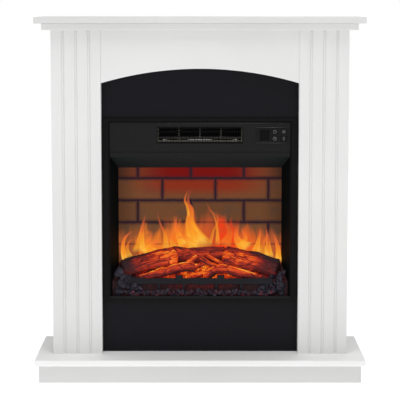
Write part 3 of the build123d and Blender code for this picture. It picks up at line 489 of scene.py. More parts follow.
@dataclass(frozen=True)
class MicaHeater(Finish):
    """Mica frame with bright ribbons: the two bars across the duct are metal, the frame is flaky board."""

    bar_heights: tuple[float, ...]
    frame_half: float

    def shade(self, t: Tree) -> dict[str, object]:
        """Bright within a millimetre and a half of each bar's height, clear of the frame's ends.

        Args:
            t: The material's node tree.

        Returns:
            Sockets of the Principled shader, by name.
        """
        x, _, z = t.place()
        bar = 0.0
        for height in self.bar_heights:
            bar = (z - height).abs().between(0.0016, 0.0011) + bar
        ribbon = ((x * 420).fract() - 0.5).abs().between(0.12, 0.3)
        flake = t.noise(t.spot(), 260, 5, 0.7)
        inner = x.abs().between(self.frame_half, self.frame_half - 0.002)
        bright = bar * inner
        board = t.mix(flake, (0.003, 0.0028, 0.0025), (0.008, 0.007, 0.006))
        return {
            "Base Color": t.mix(bright, board, t.mix(ribbon, (0.008, 0.008, 0.0083), (0.045, 0.045, 0.047))),
            "Metallic": bright * 0.5,
            "Roughness": 0.6 + bright * 0.1,
            "Specular IOR Level": 0.1,
            "Normal": t.bump(flake, 0.00008),
        }


@dataclass(frozen=True)
class Glow:
    """A soft hill of light on the screen: its middle over the log line, half sizes, colour and share."""

    x: float
    rise: float
    half_width: float
    half_height: float
    colour: tuple[float, float, float]
    share: float


@dataclass(frozen=True)
class BrickScreen(Finish):
    """The lit picture on the screen: a brick wall in firelight, with soft glows low down."""

    course: float          # height of a course, joint included
    joint_top: float       # height of the highest joint
    pitch: float           # length of a brick, joint included
    joint_x: float         # one upright joint in the odd courses
    shift: float           # how far the even courses are moved along
    hearth: float          # height where the logs hide the screen
    half: float            # half width of the screen
    glows: tuple[Glow, ...] = ()
    joint: float = 0.005

    def hill(self, x: Val, z: Val, glow: Glow) -> Val:
        """One less the squared distance from the glow's middle in half sizes, cut at 0, to the power 1.3.

        Args:
            x: Place across.
            z: Height.
            glow: Which glow.

        Returns:
            Its strength there, times its share.
        """
        across = (x - glow.x) / glow.half_width
        up = (z - self.hearth - glow.rise) / glow.half_height
        return (1 - across * across - up * up).at_least(0) ** 1.3 * glow.share

    def shade(self, t: Tree) -> dict[str, object]:
        """Bricks shade off towards their joints; each has its own tone; red light falls from above.

        Args:
            t: The material's node tree.

        Returns:
            Sockets of the Principled shader, by name.
        """
        x, _, z = t.place()
        spot = t.spot()
        wobble = (t.noise(spot, 70, 3) - 0.5) * 0.003
        row = (z - self.joint_top + wobble) / self.course
        course = row.floor()
        odd = (course * 0.5).fract() * 2
        along = (x - self.joint_x - odd * self.shift + wobble) / self.pitch
        to_bed = (0.5 - (row.fract() - 0.5).abs()) * self.course
        to_head = (0.5 - (along.fract() - 0.5).abs()) * self.pitch
        edge = to_bed.at_most(to_head)
        mortar = edge.between(self.joint * 0.66, self.joint * 0.3)
        inside = edge.between(self.joint * 0.4, self.joint * 1.9)
        tone = t.dice(along.floor(), course)
        grit = t.noise(spot, 230, 5, 0.65)
        cloud = t.noise(spot, 26, 3)
        face = t.mix(tone * 0.5 + grit * 0.5, (0.11, 0.04, 0.016), (0.2, 0.082, 0.032))
        face = t.mix(cloud.between(0.45, 0.8) * 0.45, face, (0.07, 0.055, 0.042))
        middle = x.abs().between(self.half * 1.05, self.half * 0.3)
        top = z.between(self.joint_top - 0.004, self.joint_top + 0.004)
        second = z.between(self.joint_top - self.course, self.joint_top - self.course * 0.3) * (1 - top)
        face = t.mix(top * (middle * 0.75 + 0.2), face, (0.17, 0.002, 0.003))
        face = t.mix(second * middle * 0.85, face, (0.25, 0.02, 0.007))
        face = t.mix((1 - inside) * 0.6, face, (0.03, 0.012, 0.018))
        wall = t.mix(mortar, face, (0.026, 0.011, 0.018))
        ends = x.abs().between(self.half * 1.03, self.half * 0.7)
        wall = t.mix((1 - ends) * (0.5 + top * 0.3), wall, (0.014, 0.007, 0.007))
        ragged = t.noise(t.stretch(spot, (26, 0, 11)), 1, 4, 0.55, 0.6) * 1.3 + 0.35
        blown_x = x + (t.noise(t.stretch(spot, (22, 0, 15)), 1, 3, 0.5, 0.8) - 0.5) * 0.10
        blown_z = z + (t.noise(t.stretch(spot, (34, 0, 9)), 1, 3, 0.5, 0.4) - 0.5) * 0.11
        for glow in self.glows:
            lit = self.hill(blown_x, blown_z, glow) * ragged * (1 - mortar * 0.45)
            wall = t.mix(lit.at_most(0.95), wall, glow.colour)
        return {
            "Base Color": (0.003, 0.002, 0.002),
            "Roughness": 0.5 + grit * 0.1,
            "Specular IOR Level": 0.02,
            "Emission Color": wall,
            "Emission Strength": 1.0,
        }


@dataclass(frozen=True)
class FlameLight(Finish):
    """Light of one flame: yellow at its root, orange, then rose at a fading tip."""

    def shade(self, t: Tree) -> dict[str, object]:
        """Across runs -1 to 1 and up runs 0 to 1; the alpha falls to nothing at the edge and the tip.

        Args:
            t: The material's node tree.

        Returns:
            Sockets of the Principled shader, by name.
        """
        across, up, power = t.attribute("across"), t.attribute("up"), t.attribute("power")
        flow = t.attribute("flow", vector=True)
        wisp = (t.noise(flow, 1, 4, 0.55, 0.8) - 0.5) * 1.2
        body = (1 - across.abs() ** 1.8).at_least(0)
        rim = across.abs().between(0.2, 0.55) * across.abs().between(0.98, 0.7)
        level = body * 0.28 + (1 - up) ** 1.3 * 0.66 + wisp * 0.34 + rim * 0.12 - 0.02
        colour = t.ramp(level, [
            (0.1, (0.5, 0.05, 0.035)), (0.34, (0.8, 0.125, 0.055)), (0.54, (0.93, 0.19, 0.025)),
            (0.76, (0.97, 0.35, 0.022)), (0.96, (0.98, 0.6, 0.08))])
        fade = up.between(1.0, 0.5) * up.between(-0.02, 0.12)
        alpha = (body * (1.15 - up * 0.55) + wisp * 0.75 + rim * 0.25 - 0.12).between(0.0, 1.0) * fade * power
        return {
            "Base Color": (0, 0, 0),
            "Roughness": 1.0,
            "Specular IOR Level": 0.0,
            "Emission Color": colour,
            "Emission Strength": 1.0,
            "Alpha": alpha.at_most(1.0),
        }


@dataclass(frozen=True)
class GlowingResin(Finish):
    """Moulded resin lit from inside: charred skin, with red to yellow light in its grain and cracks."""

    char: tuple[float, float, float] = (0.006, 0.003, 0.002)
    fineness: float = 1.0

    def shade(self, t: Tree) -> dict[str, object]:
        """Warmth is the piece's own attribute, broken by fibres, by slow patches and by dark cracks.

        Args:
            t: The material's node tree.

        Returns:
            Sockets of the Principled shader, by name.
        """
        warmth = t.attribute("warmth")
        flow = t.attribute("grain", vector=True)
        fibre = t.noise(flow, 2.6 * self.fineness, 5, 0.65, 0.5)
        coarse = t.noise(flow, 0.5 * self.fineness, 3, 0.5, 0.4)
        crack = t.cells(flow, 0.75 * self.fineness, "DISTANCE_TO_EDGE").between(0.1, 0.0)
        ridge = (1 - (fibre - 0.5).abs() * 5).at_least(0)
        level = warmth * (fibre * 1.15 + coarse * 1.05 + ridge * 0.14 - 0.41) - (1 - warmth) * 0.08
        level = level * (1 - crack * 0.5)
        light = t.ramp(level, [
            (0.06, (0.006, 0.0008, 0.001)), (0.24, (0.09, 0.004, 0.003)), (0.4, (0.28, 0.014, 0.004)),
            (0.56, (0.56, 0.042, 0.005)), (0.72, (0.84, 0.11, 0.007)), (0.86, (0.96, 0.28, 0.02)),
            (0.98, (1.0, 0.52, 0.09))])
        bark = t.mix(fibre, self.char, tuple(c * 3 + 0.004 for c in self.char))
        bark = t.mix((1 - warmth) * (fibre * 0.9 + 0.1), bark, (0.062, 0.036, 0.044))
        return {
            "Base Color": bark,
            "Roughness": 0.66 + fibre * 0.2,
            "Specular IOR Level": 0.06,
            "Emission Color": light,
            "Emission Strength": 1.0,
            "Normal": t.bump(fibre - crack * 0.6, 0.0012, 0.8),
        }


@dataclass(frozen=True)
class Charcoal(Finish):
    """Crumbled coal: blue-black facets with dull violet dust."""

    def shade(self, t: Tree) -> dict[str, object]:
        """Facets from cells, dust from noise, and a trace of red light where the piece says so.

        Args:
            t: The material's node tree.

        Returns:
            Sockets of the Principled shader, by name.
        """
        spot = t.spot()
        facet = t.cells(spot, 190, output="Color")
        dust = t.noise(spot, 120, 5, 0.7)
        glow = t.attribute("warmth")
        base = t.mix(dust.between(0.35, 0.72), (0.008, 0.006, 0.011), (0.036, 0.028, 0.05))
        ember = t.noise(spot, 90, 3).between(0.45, 0.7) * glow
        return {
            "Base Color": base,
            "Roughness": 0.3 + facet * 0.3 + dust * 0.2,
            "Specular IOR Level": 0.35,
            "Emission Color": t.mix(ember, (0, 0, 0), (0.1, 0.005, 0.007)),
            "Emission Strength": 1.0,
            "Normal": t.bump(facet * 0.6 + dust * 0.4, 0.0016),
        }


@dataclass(frozen=True)
class PrintedMark(Finish):
    """Pale ink on the keys."""

    colour: tuple[float, float, float] = (0.2, 0.2, 0.21)

    def shade(self, t: Tree) -> dict[str, object]:
        """Ink that is a little thinner in places.

        Args:
            t: The material's node tree.

        Returns:
            Sockets of the Principled shader, by name.
        """
        thin = t.noise(t.spot(), 1800, 2)
        dark = tuple(c * 0.7 for c in self.colour)
        return {"Base Color": t.mix(thin, self.colour, dark), "Roughness": 0.55 + thin * 0.1}


@dataclass(frozen=True)
class PaleFloor(Finish):
    """Seamless studio floor."""

    def shade(self, t: Tree) -> dict[str, object]:
        """Matt white with the slightest mottling.

        Args:
            t: The material's node tree.

        Returns:
            Sockets of the Principled shader, by name.
        """
        mottle = t.noise(t.spot(), 2.0, 3)
        return {
            "Base Color": t.mix(mottle, (0.7, 0.7, 0.7), (0.67, 0.67, 0.67)),
            "Roughness": 0.9,
            "Specular IOR Level": 0.1,
            "Emission Color": (1, 1, 1),
            "Emission Strength": 0.7,
        }


class Slot(Enum):
    """Material slots of the record, given with each new piece."""

    SCREEN = "brick_screen"
    LOG = "log_resin"
    EMBER = "ember_resin"
    COAL = "coal_resin"
    IRON = "grate_iron"
    CONTROL = "control_plastic"
    FRAME = "black_frame"


# ---------------------------------------------------------------- meshes from formulas
def rng(seed: int) -> np.random.Generator:
    """A seeded random source."""
    return np.random.default_rng(seed)


def ripple(points: np.ndarray, scale: float, seed: int, octaves: int = 3) -> np.ndarray:
    """Smooth random height at each point, about -1 to 1.

    The mean of seven sine waves in random directions, each octave twice as fine and half as strong.

    Args:
        points: Places, with the last axis x, y, z.
        scale: Waves to the metre in the coarsest octave.
        seed: Which random set.
        octaves: How many sets are added.

    Returns:
        One number for each point.
    """
    source = rng(seed)
    total = np.zeros(points.shape[:-1])
    for octave in range(octaves):
        ways = source.normal(size=(7, 3))
        ways /= np.linalg.norm(ways, axis=1, keepdims=True)
        phases = source.uniform(0, 2 * math.pi, 7)
        waves = np.sin(points @ ways.T * (2 * math.pi * scale * 2**octave) + phases)
        total += waves.mean(-1) * 1.9 / 2**octave
    return total


@dataclass
class Skin:
    """A mesh being made: points, faces by point number, and named values at each point."""

    points: np.ndarray
    faces: list
    values: dict = field(default_factory=dict)

    @staticmethod
    def grid(points: np.ndarray, wrap: bool = False, caps: bool = False, **values: np.ndarray) -> "Skin":
        """A surface over rows and columns of points.

        Args:
            points: Array of rows, columns and x, y, z.
            wrap: Whether the last column joins the first.
            caps: Whether the first and last rows are closed, each with a fan round its middle point.
            values: Numbers or vectors for each point, in rows and columns.

        Returns:
            The surface.
        """
        rows, cols = points.shape[:2]
        number = np.arange(rows * cols).reshape(rows, cols)
        right = np.roll(number, -1, 1) if wrap else number[:, 1:]
        left = number if wrap else number[:, :-1]
        quads = np.stack([left[:-1], right[:-1], right[1:], left[1:]], -1).reshape(-1, 4)
        faces = quads.tolist()
        flat = points.reshape(-1, 3)
        kept = {n: np.asarray(v).reshape(rows * cols, -1) for n, v in values.items()}
        if caps:
            start, end = len(flat), len(flat) + 1
            flat = np.vstack([flat, points[0].mean(0), points[-1].mean(0)])
            kept = {n: np.vstack([v, v[:cols].mean(0), v[-cols:].mean(0)]) for n, v in kept.items()}
            first, last = number[0], number[-1]
            faces += np.stack([np.full(cols, start), np.roll(first, -1), first], -1).tolist()
            faces += np.stack([np.full(cols, end), last, np.roll(last, -1)], -1).tolist()
        return Skin(flat, faces, kept)

    @staticmethod
    def together(skins: "list[Skin]") -> "Skin":
        """Several surfaces as one mesh.

        Args:
            skins: The surfaces, all with the same named values.

        Returns:
            One surface.
        """
        starts = np.cumsum([0] + [len(s.points) for s in skins[:-1]])
        faces = [[i + int(start) for i in face] for s, start in zip(skins, starts) for face in s.faces]
        values = {n: np.vstack([s.values[n] for s in skins]) for n in skins[0].values}
        return Skin(np.vstack([s.points for s in skins]), faces, values)

    def piece(self, name: str, finish: Finish, body: str, slot: Slot, replaces: tuple[str, ...] = (),
              smooth: bool = True) -> bpy.types.Object:
        """Make the object, dress it and hang it on its body.

        Args:
            name: The piece's name.
            finish: What it is made of.
            body: The body it moves with.
            slot: The record's slot for its finish; not used.
            replaces: CAD nodes it stands for.
            smooth: Whether faces are shaded smooth.

        Returns:
            The new object.
        """
        mesh = bpy.data.meshes.new(name)
        mesh.from_pydata(self.points.tolist(), [], self.faces)
        for key, value in self.values.items():
            kind, entry = ("FLOAT", "value") if value.shape[1] == 1 else ("FLOAT_VECTOR", "vector")
            layer = mesh.attributes.new(key, kind, "POINT")
            layer.data.foreach_set(entry, value.astype(np.float32).ravel())
        mesh.polygons.foreach_set("use_smooth", [smooth] * len(mesh.polygons))
        mesh.materials.append(finish.material())
        mesh.validate()
        mesh.update()
        made = bpy.data.objects.new(name, mesh)
        bpy.context.scene.collection.objects.link(made)
        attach(made, body)
        if replaces:
            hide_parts(*replaces)
        LOG.info("%s: %d faces", name, len(self.faces))
        return made


def frame_along(path: np.ndarray) -> tuple[np.ndarray, np.ndarray]:
    """Two directions square to a path at each of its points, the second as upright as can be.

    Args:
        path: Points along the path, one to a row.

    Returns:
        Sideways and upward unit vectors, one to a point.
    """
    run = np.gradient(path, axis=0)
    run /= np.linalg.norm(run, axis=1, keepdims=True)
    side = np.cross(run, (0.0, 0.0, 1.0))
    side /= np.linalg.norm(side, axis=1, keepdims=True)
    return side, np.cross(side, run)


def smooth_path(points: list[tuple[float, ...]], count: int) -> np.ndarray:
    """A smooth line through a few points: a cubic through each four, joined (Catmull-Rom).

    Args:
        points: The places that the line goes through.
        count: How many points it is given.

    Returns:
        The line's points, one to a row.
    """
    p = np.array(points, float)
    p = np.vstack([2 * p[0] - p[1], p, 2 * p[-1] - p[-2]])
    t = np.linspace(0, len(points) - 1, count)
    i = np.minimum(t.astype(int), len(points) - 2)
    f = (t - i)[:, None]
    a, b, c, d = p[i], p[i + 1], p[i + 2], p[i + 3]
    return 0.5 * (2 * b + (c - a) * f + (2 * a - 5 * b + 4 * c - d) * f**2 + (3 * b - a - 3 * c + d) * f**3)


# ---------------------------------------------------------------- surround
@dataclass
class Surround:
    """White boards, with the plain boards and fixings behind them.

    The white boards are one paint in life. Their three tones are painted light and shade for this
    studio's light: the shelf and plinth are painted darker as painted shade, and the hearth board
    lighter as painted light on its top; under other lights they should all have the same one.
    """

    hearth: tuple[str, ...] = ("hearth_board",)
    white: tuple[str, ...] = ("column_left", "column_right", "side_panel_left", "side_panel_right",
                              "frieze_panel",
                              "bed_moulding")
    painted_shade_boards: tuple[str, ...] = ("plinth_front", "plinth_ends", "mantel_shelf")
    plain: tuple[str, ...] = ("plinth_back", "back_rails", "insert_shelf", "shelf_cleats")

    def dress(self) -> None:
        """Paint the boards and finish the fixings."""
        # One paint in three tones: the darker one is painted shade on the shelf and plinth, the lighter one
        # painted light on the hearth board's top.
        for name, tone, boards in (("white_satin_paint", 0.755, self.white),
                                   ("white_satin_painted_shade", 0.665, self.painted_shade_boards),
                                   ("white_satin_hearth_painted_light", 0.87, self.hearth)):
            SprayedPaint(name, (tone, tone, tone * 0.994), roughness=0.5, specular=0.25).dress(*boards)
        BoardCore("faced_board", (0.74, 0.72, 0.68)).dress(*self.plain)
        BoardCore("beech", (0.62, 0.44, 0.27)).dress("dowels")
        BareMetal("zinc_fixings", (0.7, 0.7, 0.68), 0.3).dress("corner_brackets", "wood_screws",
                                                               "case_screws")
        LOG.info("surround dressed")


# ---------------------------------------------------------------- insert
@dataclass
class Insert:
    """Black panel, frame, header, outlet, controls and the works inside."""

    black: tuple[float, float, float] = (0.0036, 0.0032, 0.0062)

    def dress(self) -> None:
        """Finish every CAD node of the insert."""
        SprayedPaint("black_satin_lacquer", self.black, 0.1, 0.42, 520.0, 0.00004, 0.13).dress("fascia_panel")
        PowderCoat("black_frame_coat", (0.0019, 0.0019, 0.0020), 0.42, 0.1).dress("front_frame")
        PowderCoat("black_header_coat", (0.0066, 0.0066, 0.0067), 0.46, 0.12).dress("header_panel")
        PowderCoat("black_case_coat", (0.0012, 0.0012, 0.0013), 0.55, 0.06).dress(
            "case_wrap", "case_floor", "spindle_brackets")
        # These two blacks lean to blue-green against the red light of the screen.
        PowderCoat("hood_coat", (0.0150, 0.0190, 0.0192), 0.7, 0.03).dress("hood_baffle")
        PowderCoat("cheek_coat", (0.0020, 0.0044, 0.0048), 0.7, 0.03).dress("cheek_left", "cheek_right")
        PowderCoat("grille_coat", (0.0026, 0.0026, 0.0028), 0.5, 0.07).dress("outlet_grille")
        BareMetal("galvanised_sheet", (0.62, 0.63, 0.64), 0.35, 0.5).dress("case_back", "flame_template")
        BareMetal("darkened_sheet", (0.03, 0.03, 0.031), 0.5, 0.3).dress("blower_housing")
        Moulded("black_keys", (0.0022, 0.0022, 0.0024), 0.38, 2600.0, 0.00003, 0.12).dress(
            "key_power", "key_heat", "key_timer", "key_flame")
        Moulded("black_cover", (0.0026, 0.0026, 0.0028), 0.34, 3200.0, 0.00002, 0.14).dress("control_cover")
        Moulded("smoked_window", (0.0006, 0.0006, 0.0007), 0.3, 900.0, 0.000004, 0.08).dress("display_window")
        Moulded("black_nylon", (0.012, 0.012, 0.013), 0.5).dress("cable_gland")
        Moulded("phenolic", (0.05, 0.03, 0.02), 0.45).dress("thermal_cutout")
        CircuitBoard("solder_mask").dress("display_board", "main_board", "lamp_boards")
        BareMetal("ground_rod", (0.66, 0.66, 0.67), 0.22).dress("flame_spindle")
        BareMetal("mirror_foil", (0.85, 0.85, 0.86), 0.1).dress("spindle_flags")
        BareMetal("sintered_bronze", (0.6, 0.42, 0.2), 0.4).dress("shaft_bushes")
        BareMetal("dark_anodised", (0.08, 0.08, 0.085), 0.4).dress("blower_wheel")
        BareMetal("motor_laminations", (0.4, 0.4, 0.42), 0.38, 0.0, (30, 30, 1800)).dress(
            "blower_motor", "motor_rotor", "spindle_motor")
        low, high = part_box("outlet_grille")
        rise = high.z - low.z
        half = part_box("heater_element")[1].x
        MicaHeater("mica_heater", (low.z + rise * 0.37, low.z + rise * 0.16), half).dress("heater_element")
        LOG.info("insert dressed")


# ---------------------------------------------------------------- screen and flames
@dataclass
class Screen:
    """The lit brick picture, and the flames that stand before it."""

    course: float = 0.0556
    pitch: float = 0.133
    top_joint: float = 0.027       # highest joint under the screen's visible top
    hidden: float = 0.185          # the logs hide the screen below this, under its visible top
    glows: tuple[Glow, ...] = (
        Glow(0.0, -0.020, 0.215, 0.085, (0.55, 0.11, 0.03), 0.8),
        Glow(-0.178, -0.010, 0.050, 0.046, (0.60, 0.14, 0.03), 0.5),
        Glow(-0.112, -0.012, 0.056, 0.050, (0.92, 0.22, 0.02), 1.0),
        Glow(-0.042, 0.000, 0.060, 0.062, (0.95, 0.20, 0.015), 1.0),
        Glow(0.014, 0.010, 0.060, 0.070, (0.60, 0.09, 0.02), 0.9),
        Glow(0.066, 0.004, 0.046, 0.056, (0.85, 0.05, 0.008), 1.2),
        Glow(0.116, -0.008, 0.050, 0.050, (0.88, 0.13, 0.015), 0.9),
        Glow(0.182, -0.024, 0.050, 0.060, (0.60, 0.12, 0.03), 0.7),
    )

    def dress(self) -> None:
        """Brick picture on the screen itself."""
        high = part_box("flame_screen")[1]
        top = self.visible_top()
        BrickScreen("brick_picture", self.course, top - self.top_joint, self.pitch, -0.023, 0.0615,
                    top - self.hidden, high.x, self.glows).dress("flame_screen")

    def visible_top(self) -> float:
        """Height where the hood meets the screen."""
        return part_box("hood_baffle")[0].z

    def tongue(self, spine: list[tuple[float, float]], root: float, belly: float, power: float,
               order: int) -> Skin:
        """One flame.

        The spine is a smooth line through a few points. At share t up it, the flame is as wide as
        root*(1-t)^3.2 + belly*sin(pi*t)^0.8, all times (1-t)^0.25.

        Args:
            spine: Places along the flame's middle, in millimetres right of the middle and over the log line.
            root: Width at the bottom, in millimetres.
            belly: Extra width half way up, in millimetres.
            power: How opaque it is, from 0 to 1.
            order: Its place in the stack, so that flames stand one before another.

        Returns:
            The flame's surface, with across, up, power and flow at each point.
        """
        rows, cols = 34, 11
        line = smooth_path(spine, rows)
        t = np.linspace(0, 1, rows)
        width = (root * (1 - t) ** 3.2 + belly * np.sin(math.pi * t) ** 0.8) * (1 - t) ** 0.25 / 2 + 0.15
        run = np.gradient(line, axis=0)
        run /= np.linalg.norm(run, axis=1, keepdims=True)
        square = np.stack([run[:, 1], -run[:, 0]], 1)
        u = np.linspace(-1, 1, cols)
        flat = line[:, None] + square[:, None] * (width[:, None] * u)[..., None]
        low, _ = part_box("flame_screen")
        base = self.visible_top() - self.hidden
        y = np.full((rows, cols), low.y - (0.9 + 0.4 * order) * MM)
        points = np.stack([flat[..., 0] * MM, y, base + flat[..., 1] * MM], -1)
        across = np.broadcast_to(u, (rows, cols))
        up = np.broadcast_to(t[:, None], (rows, cols))
        flow = np.stack([across * 1.6 + order * 7.3, up * 2.2 + order * 3.1, up * 0 + order], -1)
        return Skin.grid(points, across=across, up=up, power=np.full((rows, cols), power), flow=flow)

    def flames(self) -> None:
        """All the flames in one piece: tall in the middle, low curls at the ends."""
        plan = [
            ([(-188, -54), (-194, -24), (-190, 4), (-176, 20), (-160, 26)], 20, 9, 1.0),
            ([(-178, -44), (-184, -20), (-176, 0), (-156, 8)], 30, 6, 0.7),
            ([(-150, -30), (-148, 10), (-143, 44), (-129, 88)], 56, 10, 0.9),
            ([(-118, -34), (-132, -10), (-124, 14), (-134, 40)], 46, 8, 0.7),
            ([(-86, -24), (-88, 14), (-102, 50), (-110, 90)], 30, 7, 0.6),
            ([(-140, -34), (-118, -8), (-96, 4)], 40, 18, 0.95),
            ([(-38, -16), (-54, 16), (-61, 44), (-53, 76)], 46, 11, 1.0),
            ([(-66, -18), (-74, 10), (-66, 36)], 30, 6, 0.6),
            ([(2, -24), (-16, 14), (-25, 48), (-22, 78), (-30, 98), (-26, 120), (-9, 140)], 92, 11, 1.0),
            ([(-28, 60), (-32, 86), (-38, 104), (-31, 124), (-12, 139)], 8, 6, 0.75),
            ([(-4, -10), (-44, 10), (-64, 0)], 30, 12, 0.8),
            ([(44, -12), (43, 30), (36, 62), (20, 88), (13, 114)], 16, 4, 0.6),
            ([(24, -14), (34, 26), (45, 56), (24, 82), (16, 100)], 12, 4, 0.5),
            ([(60, -14), (74, 20), (64, 54), (68, 94)], 50, 9, 0.26),
            ([(118, -22), (96, 0), (92, 24), (105, 50)], 56, 15, 1.0),
            ([(104, -16), (114, 8), (107, 26), (99, 40)], 34, 8, 0.7),
            ([(140, -30), (147, 0), (151, 22), (148, 48)], 34, 6, 0.9),
            ([(174, -44), (171, -8), (168, 20), (162, 52)], 34, 9, 0.9),
            ([(196, -54), (196, -20), (188, 8), (176, 38)], 26, 10, 1.0),
            ([(164, -40), (158, -12), (166, 10), (178, 26)], 34, 8, 0.6),
        ]
        skins = [self.tongue(spine, root, belly, power, order)
                 for order, (spine, root, belly, power) in enumerate(plan)]
        Skin.together(skins).piece("flame_image", FlameLight("flame_light"), "fireplace", Slot.SCREEN)


# ---------------------------------------------------------------- log set
@dataclass
class Log:
    """One log: where it runs, how thick it is, how hot it is and how it is cut."""

    name: str
    spine: list[tuple[float, float, float]]
    radii: tuple[float, float]
    seed: int
    heat: float = 1.0
    sides: float = 0.10        # how much its section is a rounded polygon
    rim: float = 0.0           # painted highlight along its top, added to its warmth; without it the top is charred
    ridges: int = 15
    rows: int = 70
    cols: int = 56

    def skin(self) -> Skin:
        """The log's surface.

        Radius = taper * (1 + polygon + knots + bark + chips + 0.03). The polygon is cosines of three and five
        times the angle, knots are slow ripples, bark is ridges along the log bent by a ripple, and chips are
        fine dents. It closes at rounded ends.

        Returns:
            The log's surface, with warmth (painted shade and highlight included) and grain at each point.
        """
        t = np.linspace(0, 1, self.rows)
        a = np.linspace(0, 2 * math.pi, self.cols, endpoint=False)
        line = smooth_path(self.spine, self.rows)
        side, up = frame_along(line)
        tt, aa = np.meshgrid(t, a, indexing="ij")
        taper = (self.radii[0] * (1 - tt) + self.radii[1] * tt)
        length = np.linalg.norm(np.diff(line, axis=0), axis=1).sum()
        ring = np.stack([np.cos(aa) * taper, np.sin(aa) * taper, tt * length], -1)
        phase = rng(self.seed).uniform(0, 6, 3)
        polygon = self.sides * (np.cos(3 * aa + phase[0]) * 0.6 + np.cos(5 * aa + phase[1]) * 0.35)
        knots = 0.07 * ripple(ring, 14, self.seed)
        bend = ripple(ring * np.array([1, 1, 0.35]), 30, self.seed + 1) * 2.2
        bark = -np.abs(np.sin(self.ridges / 2 * aa + bend)) ** 0.7 * 0.055
        chips = np.clip(ripple(ring * np.array([1, 1, 0.6]), 70, self.seed + 2, 2), 0, 1) * -0.05
        radius = taper * (1 + polygon + knots + bark + chips + 0.03)
        ends = np.clip(np.minimum(tt, 1 - tt) * length / (taper * 0.35), 0, 1)
        radius *= np.sqrt(np.clip(1 - (1 - ends) ** 2, 0.12, 1))
        points = (line[:, None] + side[:, None] * (np.cos(aa) * radius)[..., None]
                  + up[:, None] * (np.sin(aa) * radius)[..., None])
        grain = np.stack([np.cos(aa) * taper * 160, np.sin(aa) * taper * 160, tt * length * 34],
                         -1) + self.seed * 5.7
        height = np.sin(aa) * np.sign(up[:, 2:])
        across = np.abs(points[..., 0]) / 0.2
        # The glow fades towards the ends. The second factor darkens each underside: painted shade under and
        # between the logs.
        warm = np.clip(1.3 - across**2 * 1.12, 0, 1) * np.clip(0.84 + 0.5 * height, 0.12, 1)
        warm += 0.14 * ripple(points, 26, self.seed + 3)
        # Along the top: a painted highlight where the log has a rim, char where it has none.
        warm += (self.rim - 0.35 * (self.rim == 0)) * np.clip((height - 0.78) / 0.22, 0, 1)
        heat = np.clip(warm * self.heat, 0, 1)
        return Skin.grid(points, wrap=True, caps=True, warmth=heat, grain=grain)


